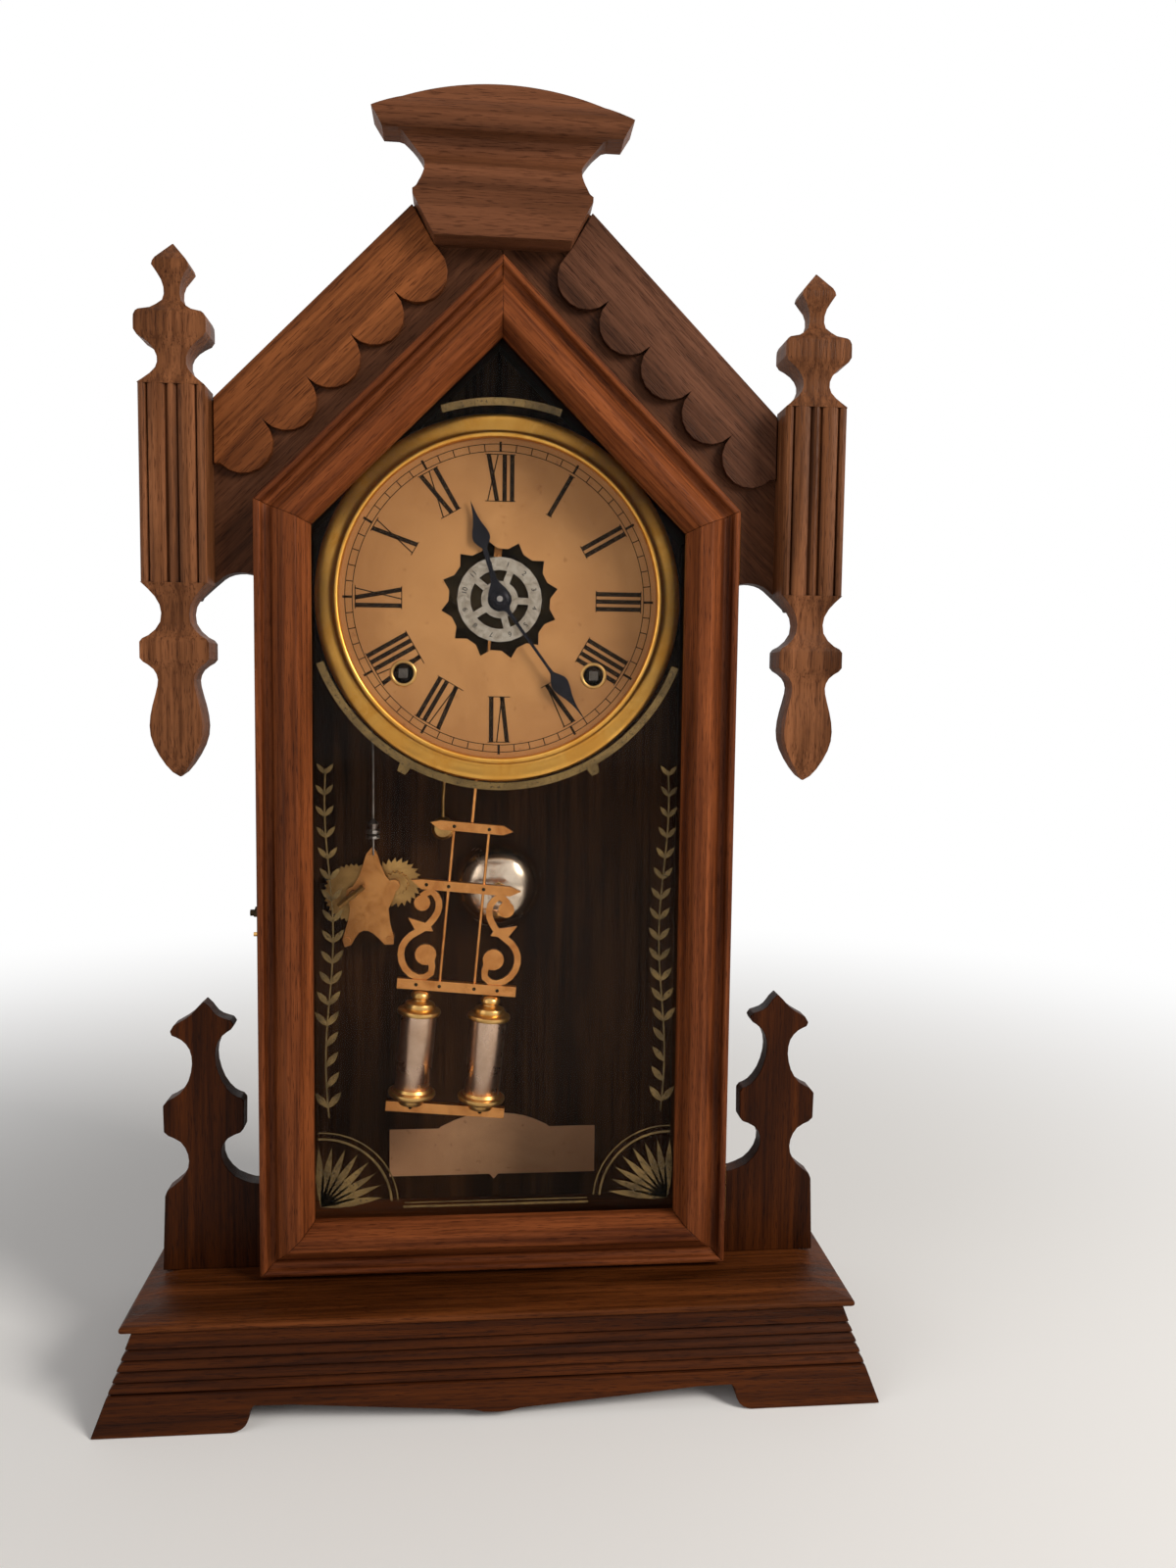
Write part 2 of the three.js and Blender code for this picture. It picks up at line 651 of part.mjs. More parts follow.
// Wing: thin sawn board standing on the base against the case side.
{
  // Distance out from the case side against height over the base, clockwise from its foot.
  const rise = [
    ...curve([[41.9, 34], [36.5, 38.4], [33.5, 43.4], [33.5, 49], [36.3, 54.2], [41.3, 57]], 10),
    [43, 58.6],
    [43.2, 69.6],
    ...curve(
      [[41.3, 71.9], [36.5, 74.6], [32.9, 80], [31.4, 87], [32.3, 93], [35.5, 97], [39.3, 98.9]],
      12,
    ),
    [40, 100.6],
    ...curve([[38.5, 103.2], [32.5, 106.8], [28.8, 110.6]], 5),
  ];
  const fall = [
    ...curve([[24.1, 110.8], [20.9, 106.9], [15.8, 105]], 5),
    [14.5, 103.2],
    ...curve(
      [[15.5, 101.2], [19.5, 98.2], [21.8, 93.4], [21.9, 87], [19.5, 79.4], [15.5, 74.2],
        [11.9, 72.4]],
      12,
    ),
    [10.7, 70.8],
    [10.9, 59.4],
    ...curve([[12.3, 57.7], [17.3, 55.4], [20.1, 50.6], [18.9, 44.4], [14.3, 39], [7.9, 36.3]], 10),
  ];
  const outline = [
    [0, BOARD_GAP],
    [44.1, BOARD_GAP],
    [42.9, 31.5],
    ...rise,
    [26.3, 113],
    ...fall,
    [0, 35.4],
  ].map(([out, up]) => [CASE_HALF_WIDTH + SIDE_GAP + out, TOP_SURFACE + up]);
  addPair("wing", frontBoard(outline, FACADE_FRONT, FACADE_BACK), DARK_WALNUT);
}

// --------------------------------------------------------------------- door
{
  // Moulding section: inset from the outer edge against setback from the face.
  const bead = 1.55;
  const section = [
    [0, DOOR_THICKNESS],
    [0, 4.4],
    ...arc(bead, 4.4, bead, 180, 360, 6),
    ...curve([[3.4, 5], [4.8, 5.9], [6.4, 5.5], [7.6, 3.8]], 5),
    [11.4, 0.3],
    [11.9, 0],
    [16.4, 0],
    [17, 0.4],
    [DOOR_RAIL - 0.4, 6.4],
    [DOOR_RAIL, 7.2],
    [DOOR_RAIL, GLASS_FRONT - DOOR_FACE - 0.2],
    [GLASS_INSET - 0.3, GLASS_FRONT - DOOR_FACE - 0.2],
    [GLASS_INSET - 0.3, DOOR_THICKNESS],
  ].map(([inset, back]) => [inset, DOOR_FACE + back]);
  const outer = houseOutline(DOOR_HALF_WIDTH, DOOR_BOTTOM, DOOR_SHOULDER, 0);
  const inner = houseOutline(DOOR_HALF_WIDTH, DOOR_BOTTOM, DOOR_SHOULDER, DOOR_RAIL);
  const names = [
    "door_bottom_rail",
    "door_right_stile",
    "door_right_gable_rail",
    "door_left_gable_rail",
    "door_left_stile",
  ];
  names.forEach((name, i) => {
    const j = (i + 1) % outer.length;
    const start = vector(outer[i]);
    const run = vector(outer[j]).sub(start);
    const length = run.length();
    run.normalize();
    const placed = new THREE.Matrix4()
      .makeBasis(
        new THREE.Vector3(-run.y, 0, run.x),
        new THREE.Vector3(0, 1, 0),
        new THREE.Vector3(run.x, 0, run.y),
      )
      .setPosition(start.x, 0, start.y);
    const moulding = solid(prism(section, length).applyMatrix4(placed));
    const ends = [
      [outer[i], 1],
      [outer[j], -1],
      [inner[j], -1],
      [inner[i], 1],
    ].map(([[x, z], sign]) => [x + sign * MITRE_GAP * run.x, z + sign * MITRE_GAP * run.y]);
    const mitred = moulding.intersect(frontBoard(ends, DOOR_FACE - 1, DOOR_BACK + 1));
    add(name, mitred, DOOR_WALNUT);
  });
  const pane = houseOutline(DOOR_HALF_WIDTH, DOOR_BOTTOM, DOOR_SHOULDER, GLASS_INSET);
  add("door_glass", frontBoard(pane, GLASS_FRONT, GLASS_BACK), GLASS);
}

// Butt hinges: the case leaf carries the pin and the end knuckles.
for (const [place, middle] of Object.entries(HINGE_CENTRES)) {
  const low = middle - HINGE_HEIGHT / 2;
  const high = low + HINGE_HEIGHT;
  const third = HINGE_HEIGHT / 3;
  const case_plate = [CASE_FRONT - BOARD_GAP - LEAF_THICKNESS, CASE_FRONT - BOARD_GAP];
  const door_plate = [DOOR_BACK + BOARD_GAP, DOOR_BACK + BOARD_GAP + LEAF_THICKNESS];
  const leaf = ([y0, y1], z0, z1, reach) => box(LEAF_INNER, reach, y0, y1, z0, z1);
  const knuckle = (z0, z1) => uprightPin(HINGE_X, HINGE_Y, KNUCKLE_RADIUS, z0, z1, 10);
  const lower_end = low + third - KNUCKLE_GAP;
  const upper_end = low + 2 * third + KNUCKLE_GAP;
  const case_leaf = union(
    leaf(case_plate, low, high, HINGE_X - 2),
    leaf(case_plate, low, lower_end, HINGE_X),
    leaf(case_plate, upper_end, high, HINGE_X),
    knuckle(low, lower_end),
    knuckle(upper_end, high),
    uprightPin(HINGE_X, HINGE_Y, HINGE_PIN, low - 0.6, high + 0.6),
  );
  const door_leaf = union(
    leaf(door_plate, low, high, HINGE_X - 2),
    leaf(door_plate, lower_end + 2 * KNUCKLE_GAP, upper_end - 2 * KNUCKLE_GAP, HINGE_X),
    knuckle(lower_end + 2 * KNUCKLE_GAP, upper_end - 2 * KNUCKLE_GAP),
  ).subtract(uprightPin(HINGE_X, HINGE_Y, HINGE_PIN + 0.2, low - 1, high + 1));
  add(`hinge_${place}_case_leaf`, case_leaf, BRASS);
  add(`hinge_${place}_door_leaf`, door_leaf, BRASS);
}

// Hook latch on the left side, lifted clear of the pin that it drops over.
{
  const tip = LATCH_Y - LATCH_REACH;
  const hook = [
    ...arc(LATCH_Y, LATCH_Z, 2.6, -60, 120, 6),
    [tip + 0.6, LATCH_Z + 2.4],
    ...curve([[tip - 2.8, LATCH_Z + 2], [tip - 4.3, LATCH_Z], [tip - 4.6, LATCH_Z - 3.2]], 4),
    [tip - 2.7, LATCH_Z - 2.6],
    [tip - 2.2, LATCH_Z + 0.5],
    [LATCH_Y - 1.5, LATCH_Z + 0.4],
  ];
  const outer = -DOOR_HALF_WIDTH - 1.7;
  const inner = -DOOR_HALF_WIDTH - 0.5;
  const latch = union(
    sideBoard(hook, outer, inner),
    crossPin(LATCH_Y, LATCH_Z, 2, inner - 0.1, -CASE_HALF_WIDTH - BOARD_GAP),
    crossPin(tip - 3.4, LATCH_Z - 1, 1.3, outer - 1.6, outer + 0.1),
  );
  const lifted = latch
    .translate([0, -LATCH_Y, -LATCH_Z])
    .rotate([-LATCH_LIFT, 0, 0])
    .translate([0, LATCH_Y, LATCH_Z]);
  add("latch_hook", lifted, BRASS);
  const pin_line = [tip, LATCH_Z - 0.9];
  const shoulder = -DOOR_HALF_WIDTH - BOARD_GAP;
  add(
    "latch_pin",
    union(
      crossPin(...pin_line, 0.9, outer - 0.6, shoulder),
      crossPin(...pin_line, 1.5, shoulder - 0.35, shoulder),
    ),
    BRASS,
  );
}

// --------------------------------------------------------------------- dial
{
  const star = [];
  for (let i = 0; i < STAR_POINTS; i += 1) {
    const step = 360 / STAR_POINTS;
    const angle = 90 - 18.5 - i * step;
    star.push(polar(0, DIAL_Z, STAR_POINT, angle));
    for (const turn of [0.3, 0.7]) {
      star.push(polar(0, DIAL_Z, STAR_VALLEY, angle - turn * step));
    }
  }
  const holes = [
    star,
    circle(-WINDING_X, WINDING_Z, WINDING_HOLE, 16),
    circle(WINDING_X, WINDING_Z, WINDING_HOLE, 16),
  ];
  const rim = circle(0, DIAL_Z, DIAL_RADIUS, 48);
  const face = frontBoard(rim, DIAL_FRONT, DIAL_FRONT + DIAL_PLATE, holes);
  const feet = [[-26, 46], [26, 46], [-50, -40], [50, -40]].map(([x, z]) =>
    pin(x, DIAL_Z + z, 1.6, DIAL_FRONT + DIAL_PLATE / 2, PLATE_FRONT - BOARD_GAP, 8),
  );
  add("dial", union(face, ...feet), PAPER);

  // Section: distance in from the rim against distance behind the dial face.
  const ring = [
    [10.2, -BOARD_GAP],
    [10.3, -1.6],
    [9.6, -2.7],
    [8.2, -2.6],
    [7.2, -1.4],
    [1.2, -1.2],
    [0, 0.4],
    [0, 5],
    [0.8, 5],
    [0.8, -BOARD_GAP],
    [10.2, -BOARD_GAP],
  ].map(([inset, back]) => [BEZEL_RADIUS - inset, DIAL_FRONT + back]);
  add("bezel", turned(ring, 0, DIAL_Z, 36), BRASS);
}

// Hands are drawn pointing to twelve, then turned about the centre arbor.
const turnHand = (body, degrees) =>
  body.translate([0, 0, -DIAL_Z]).rotate([0, -degrees, 0]).translate([0, 0, DIAL_Z]);
const above = (points) => points.map(([x, up]) => [x, DIAL_Z + up]);
const bothSides = (half) => [
  ...half,
  ...half.filter(([x]) => x !== 0).map(([x, z]) => [-x, z]).reverse(),
];
{
  const hour = bothSides([
    ...curve([[4.2, 3], [2.2, 6.5], [1, 10], [1, 20]], 4),
    ...curve([[1, 22], [3.4, 25], [3.5, 28], [1.6, 33], [0.7, HOUR_HAND_LENGTH - 5]], 7),
    [0, HOUR_HAND_LENGTH],
  ]);
  const hour_depth = [HOUR_HAND_FRONT, HOUR_HAND_FRONT + HAND_THICKNESS];
  const hour_hand = union(
    frontBoard(above(hour), ...hour_depth),
    frontBoard(circle(0, DIAL_Z, 5, 16), ...hour_depth),
  ).subtract(pin(0, DIAL_Z, 3.2, HOUR_HAND_FRONT - 1, HOUR_HAND_FRONT + 1, 14));
  add("hour_hand", turnHand(hour_hand, HOUR_ANGLE), BLUED);

  const minute = bothSides([
    ...curve([[3.2, 2], [1.4, 5.5], [0.7, 9], [0.6, 34]], 4),
    ...curve([[0.8, 37.4], [3.4, 41.4], [3.5, 44.6], [1.4, 50.4], [0.5, MINUTE_HAND_LENGTH - 7]], 7),
    [0, MINUTE_HAND_LENGTH],
  ]);
  const front = MINUTE_HAND_FRONT;
  const back = front + HAND_THICKNESS;
  const collet = [[0, front - 1], [2.6, front - 1], [3.9, front - 0.3], [3.9, back], [0, back]];
  const minute_hand = union(
    frontBoard(above(minute), front, back),
    turned(collet, 0, DIAL_Z, 16),
  ).subtract(pin(0, DIAL_Z, 1.3, front - 2, back + 1));
  add("minute_hand", turnHand(minute_hand, MINUTE_ANGLE), BLUED);

  // Alarm disc: numbered ring on five spokes, turning on its own sleeve.
  const disc_back = ALARM_DISC_FRONT + ALARM_DISC_THICKNESS;
  const bar = [[-1.4, 6.6], [1.4, 6.6], [1.4, 13.2], [-1.4, 13.2]];
  const spokes = [0, 1, 2, 3, 4].map((i) =>
    turnHand(frontBoard(above(bar), ALARM_DISC_FRONT, disc_back), -21 - 72 * i),
  );
  const ringPlate = (outer, inner) =>
    frontBoard(circle(0, DIAL_Z, outer, 24), ALARM_DISC_FRONT, disc_back, [
      circle(0, DIAL_Z, inner, 24),
    ]);
  const sleeve = [
    [3.4, 0],
    [3.9, 0],
    [3.9, 2.5],
    [6.4, 2.5],
    [6.4, 3.3],
    [3.4, 3.3],
    [3.4, 0],
  ].map(([radius, depth]) => [radius, ALARM_DISC_FRONT + depth]);
  add(
    "alarm_disc",
    union(
      ringPlate(ALARM_DISC_RADIUS, 12.2),
      ringPlate(7.7, 3.4),
      ...spokes,
      turned(sleeve, 0, DIAL_Z, 16),
    ),
    NICKEL,
  );
}

// ----------------------------------------------------------------- movement
const wheel = (x, z, teeth, radius, y0, y1, bore) =>
  frontBoard(toothed(x, z, teeth, radius - 1, radius), y0, y1, [circle(x, z, bore, 8)]);
{
  // Depths of the motion work behind the dial and of the wheels behind the front plate.
  const minute_work = [DIAL_FRONT + 5.5, DIAL_FRONT + 6.8];
  const hour_work = [DIAL_FRONT + 3, DIAL_FRONT + 4.4];
  const great_wheels = [PLATE_FRONT + 3.6, PLATE_FRONT + 5];
  const centre_wheel = [PLATE_FRONT + 7, PLATE_FRONT + 8.2];
  const springs = [PLATE_FRONT + 10, PLATE_FRONT + 10 + SPRING_WIDTH];
  const front_pivot = PLATE_FRONT + 0.2;
  const back_pivot = BACK_PLATE + 1;
  const minute_wheel_x = -16.8;

  const plate = above([
    [-54, -50],
    [54, -50],
    [54, -1],
    [34, 9],
    [34, 58],
    [-34, 58],
    [-34, 9],
    [-54, -1],
  ]);
  const arbor_holes = [
    circle(0, DIAL_Z, 2.1, 10),
    circle(-WINDING_X, WINDING_Z, 3, 12),
    circle(WINDING_X, WINDING_Z, 3, 12),
    circle(0, PIVOT_Z, 1.4, 8),
    circle(0, ESCAPE_Z, 1.4, 8),
    circle(...HAMMER_AT, 1.5, 8),
  ];
  const front_plate = union(
    frontBoard(plate, PLATE_FRONT, PLATE_FRONT + PLATE_THICKNESS, arbor_holes),
    pin(minute_wheel_x, DIAL_Z, 0.9, DIAL_FRONT + 2.4, front_pivot, 12),
    box(-3, 3, PENDULUM_Y - 1.8, front_pivot, PIVOT_Z + 3.2, PIVOT_Z + 9),
  );
  add("movement_front_plate", front_plate, BRASS);

  const pillar_front = PLATE_FRONT + PLATE_THICKNESS + BOARD_GAP;
  const pillars = [
    [0, -45.6],
    SIDE_PILLAR,
    [-SIDE_PILLAR[0], SIDE_PILLAR[1]],
    [-29, 52],
    [29, 52],
  ].map(([x, up]) => pin(x, DIAL_Z + up, PILLAR_RADIUS, pillar_front, BACK_PLATE + 0.2, 8));
  const feet = [[-50, -46], [50, -46], [-30, 46], [30, 46]].map(([x, up]) =>
    pin(x, DIAL_Z + up, 3.4, back_pivot, BACK_BOARD_FRONT - BOARD_GAP, 8),
  );
  const back = frontBoard(plate, BACK_PLATE, BACK_PLATE + PLATE_THICKNESS, arbor_holes);
  add("movement_back_plate", union(back, ...pillars, ...feet), BRASS);

  const centre = union(
    pin(0, DIAL_Z, 1.2, DIAL_FRONT - 5.7, DIAL_FRONT - 2, 12),
    pin(0, DIAL_Z, 1.6, DIAL_FRONT - 2.6, BACK_PLATE + 0.8, 12),
    wheel(0, DIAL_Z, 12, 4.1, ...minute_work, 1),
    wheel(0, DIAL_Z, 40, 19.5, ...centre_wheel, 1),
  );
  add("centre_arbor", centre, STEEL);

  const pipe = [[2.1, -2.5], [3, -2.5], [3, 3.2], [2.1, 3.2], [2.1, -2.5]];
  const hour_wheel = union(
    turned(pipe.map(([radius, back_of_dial]) => [radius, DIAL_FRONT + back_of_dial]), 0, DIAL_Z, 14),
    wheel(0, DIAL_Z, 32, 13.3, ...hour_work, 2.1),
  );
  add("hour_wheel", hour_wheel, BRASS);
  const minute_wheel = union(
    wheel(minute_wheel_x, DIAL_Z, 36, 12.5, ...minute_work, 1.2),
    wheel(minute_wheel_x, DIAL_Z, 8, 3.2, hour_work[0], minute_work[0] + 0.1, 1.2),
  );
  add("minute_wheel", minute_wheel, BRASS);

  // Mainspring: open coil round the winding arbor, its end hooked round the side pillar.
  const [pillar_x, pillar_z] = [SIDE_PILLAR[0], DIAL_Z + SIDE_PILLAR[1]];
  const hook_radius = PILLAR_RADIUS + 0.3 + SPRING_THICKNESS / 2;
  const reach = Math.hypot(pillar_x - WINDING_X, pillar_z - WINDING_Z);
  const bearing = Math.atan2(pillar_z - WINDING_Z, pillar_x - WINDING_X);
  const leaves = THREE.MathUtils.radToDeg(
    bearing - Math.acos((SPRING_RADIUS - hook_radius) / reach),
  );
  const coil = [];
  const coil_steps = 12 * SPRING_TURNS;
  for (let i = 0; i <= coil_steps; i += 1) {
    const share = i / coil_steps;
    const radius = ARBOR_RADIUS + 0.7 + (SPRING_RADIUS - ARBOR_RADIUS - 0.7) * share;
    coil.push(polar(WINDING_X, WINDING_Z, radius, leaves - 360 * SPRING_TURNS * (1 - share)));
  }
  coil.push(...arc(pillar_x, pillar_z, hook_radius, leaves, leaves + 215, 6));
  const spring = frontBoard(strip(coil, SPRING_THICKNESS), ...springs);
  add("time_mainspring", spring, BLUED);
  add("strike_mainspring", spring.mirror([1, 0, 0]), BLUED);

  // Winding arbor: squared front end for the key, and the great wheel.
  for (const [name, x] of [["strike", -WINDING_X], ["time", WINDING_X]]) {
    const square_back = DIAL_FRONT + 7;
    const square = box(
      x - 1.9,
      x + 1.9,
      DIAL_FRONT - 0.6,
      square_back,
      WINDING_Z - 1.9,
      WINDING_Z + 1.9,
    );
    const arbor = pin(x, WINDING_Z, ARBOR_RADIUS, square_back - 0.2, back_pivot, 12);
    const great = wheel(x, WINDING_Z, 40, 19.5, ...great_wheels, ARBOR_RADIUS - 0.4);
    add(`${name}_great_wheel`, union(square, arbor, great), STEEL);
  }

  const escape_teeth = toothed(0, ESCAPE_Z, 30, 9.4, 11.4, 0.15);
  const escape = union(
    pin(0, ESCAPE_Z, 0.9, front_pivot, back_pivot, 12),
    frontBoard(escape_teeth, PLATE_FRONT + 2.6, PLATE_FRONT + 3.6, [circle(0, ESCAPE_Z, 0.6, 12)]),
  );
  add("escape_wheel", escape, BRASS);

  // Strike hammer: arbor between the plates, wire down to a round head by the bell.
  const [hammer_x, hammer_z] = HAMMER_AT;
  const head_x = BELL[0] - 25.2;
  const head_y = BACK_BOARD_FRONT - 9.1;
  const head_z = BELL[1] + 26.7;
  const wire_y = BACK_PLATE - 4;
  const head = [[0, -3], [3.8, -2.8], [5.2, -1.4], [5.2, 1.4], [3.8, 2.8], [0, 3]];
  const hammer = union(
    pin(hammer_x, hammer_z, 1, front_pivot, back_pivot, 12),
    wire(
      [
        [hammer_x, wire_y, hammer_z],
        [head_x + 6.6, wire_y + 0.3, hammer_z - 16],
        [head_x + 2, head_y - 2, hammer_z - 34],
        [head_x, head_y, head_z + 15],
        [head_x, head_y, head_z],
      ],
      0.7,
      10,
    ),
    turned(head.map(([radius, depth]) => [radius, head_y + depth]), head_x, head_z, 16),
  );
  add("strike_hammer", hammer, BRASS);
}

// ----------------------------------------------------------------- pendulum
// Drawn hanging straight down, then swung about the suspension point.
const swing = (body) =>
  body.translate([0, 0, -PIVOT_Z]).rotate([0, SWING, 0]).translate([0, 0, PIVOT_Z]);
const down = (points) => points.map(([x, drop]) => [x, PIVOT_Z - drop]);
const hanging = (x, radius, top, bottom) =>
  uprightPin(x, PENDULUM_Y, radius, PIVOT_Z - bottom, PIVOT_Z - top);
{
  // Verge: pallets over the escape wheel, and a crutch that clasps the pendulum.
  const arbor = pin(0, PIVOT_Z, 0.9, PENDULUM_Y + 1.9, BACK_PLATE + 1, 12);
  const pallets = down([
    [-12, -9.2],
    [-11.2, -9.9],
    [-6.8, -3.8],
    [0, -2],
    [6.8, -3.8],
    [11.2, -9.9],
    [12, -9.2],
    [7.4, -2.4],
    [2.2, 1.6],
    [-2.2, 1.6],
    [-7.4, -2.4],
  ]);
  const crutch_back = PENDULUM_Y + 3;
  const fork = PIVOT_Z - 15;
  const crutch = union(
    box(-1.1, 1.1, PENDULUM_Y + 2.1, crutch_back, fork - 0.4, PIVOT_Z),
    box(-2.6, 2.6, PENDULUM_Y - 2.2, crutch_back, fork - 0.6, fork + 0.4).subtract(
      box(-1.2, 1.2, PENDULUM_Y - 1.4, PENDULUM_Y + 1.4, fork - 1, fork + 1),
    ),
  );
  const pallet_piece = frontBoard(pallets, PLATE_FRONT + 2.6, PLATE_FRONT + 3.6);
  add("verge", swing(union(arbor, pallet_piece, crutch)), STEEL);

  // Leader: suspension spring, wire, and an oval eye that clears the centre arbor.
  const loop_drop = PIVOT_Z - DIAL_Z;
  const oval = (half_width, half_height) =>
    down(circle(0, 0, 1, 28).map(([x, y]) => [x * half_width, loop_drop + y * half_height]));
  const loop = frontBoard(oval(6.9, 8.8), PENDULUM_Y - 0.7, PENDULUM_Y + 0.7, [oval(5.6, 7.5)]);
  const spring_depth = [PENDULUM_Y - 0.2, PENDULUM_Y + 0.2];
  const leader = union(
    box(-1.6, 1.6, ...spring_depth, PIVOT_Z - 9, PIVOT_Z + 2.9),
    hanging(0, 0.7, 8, loop_drop - 8.2),
    loop,
    hanging(0, 0.7, loop_drop + 8.2, 122.2),
  );
  add("pendulum_leader", swing(leader), BRASS);

  const bar_depth = [PENDULUM_Y - BAR_HALF_THICKNESS, PENDULUM_Y + BAR_HALF_THICKNESS];
  const top_bar = frontBoard(
    down([
      [-17.8, 123.6],
      [-13.6, 122.4],
      [13.6, 122.4],
      [17.8, 124.6],
      [13.6, 126.4],
      [-13.6, 126.4],
    ]),
    ...bar_depth,
  );
  const rods = [-ROD_X, ROD_X].map((x) => hanging(x, ROD_RADIUS, 126, 195.4));
  add("pendulum_yoke", swing(union(top_bar, ...rods)), BRASS);

  // Scroll frame: two pierced bars joined at each side by an S scroll.
  const scroll_depth = [PENDULUM_Y - 0.8, PENDULUM_Y + 0.8];
  const s_line = [
    [18.6, 156],
    [14.8, 153.3],
    [11.4, 156.6],
    [10.9, 161.2],
    [13, 165.8],
    [16.6, 169.8],
    [21.6, 173.2],
    [24.8, 178],
    [24.8, 183.8],
    [21.6, 189],
    [16, 191.4],
    [11.4, 188.6],
    [12, 183.6],
  ];
  const scroll = [
    circle(18.1, 158.7, 3.5, 12),
    circle(14.6, 181, 4.6, 14),
    strip(curve(s_line, 22), 2.8),
    [[15, 167.4], [23.4, 165.6], [19.4, 171.6]],
    [[14.6, 166.4], [12.4, 170.6], [18, 170.8]],
  ].map((outline) => frontBoard(down(outline), ...scroll_depth));
  const right_scroll = union(...scroll);
  const upper_bar = [
    [-23.6, 149],
    [-19, 148.4],
    [19, 148.4],
    [23.6, 150.2],
    [19, 152.6],
    [-19, 152.6],
  ];
  const lower_bar = [[-25.6, 192], [25.6, 192], [25.6, 196.4], [-25.6, 196.4]];
  let frame = union(
    frontBoard(down(upper_bar), ...bar_depth),
    frontBoard(down(lower_bar), ...bar_depth),
    right_scroll,
    right_scroll.mirror([1, 0, 0]),
  );
  for (const x of [-ROD_X, ROD_X]) {
    frame = frame.subtract(hanging(x, ROD_RADIUS + 0.2, 140, 195.8));
  }
  add("pendulum_scroll_frame", swing(frame), BRASS);

  // Vial: bright tube under a stacked cap, in radius and drop.
  const hang = (profile) => profile.map(([radius, drop]) => [radius, PIVOT_Z - drop]);
  const vial = turnedUpright(
    hang([
      [0, 240.3],
      [VIAL_RADIUS, 240.3],
      [VIAL_RADIUS, 207],
      [VIAL_RADIUS + 1.6, 206.6],
      [VIAL_RADIUS + 1.8, 205.4],
      [VIAL_RADIUS + 1, 204.6],
      [6.4, 204.2],
      [6.6, 202.8],
      [5.6, 201.8],
      [3.3, 201.2],
      [3.3, 200.4],
      [4.2, 199.2],
      [3.8, 197.6],
      [2.2, 196.6],
      [0, 196.6],
    ]),
    0,
    PENDULUM_Y,
    16,
  );
  add("vial_left", swing(vial.translate([-VIAL_X, 0, 0])), NICKEL);
  add("vial_right", swing(vial.translate([VIAL_X, 0, 0])), NICKEL);

  const cup = turnedUpright(
    hang([
      [0, 247],
      [5.2, 247],
      [5.6, 245],
      [VIAL_RADIUS + 2.4, 243],
      [VIAL_RADIUS + 2.7, 241.8],
      [VIAL_RADIUS + 1.8, 240.9],
      [0, 240.5],
    ]),
    0,
    PENDULUM_Y,
    16,
  );
  const foot_bar = [[-25.7, 246.2], [25.7, 246.2], [25.7, 250.6], [-25.7, 250.6]];
  const cups = [-VIAL_X, VIAL_X].map((x) => cup.translate([x, 0, 0]));
  const bottom_bar = union(frontBoard(down(foot_bar), ...bar_depth), ...cups);
  add("pendulum_bottom_bar", swing(bottom_bar), BRASS);
}

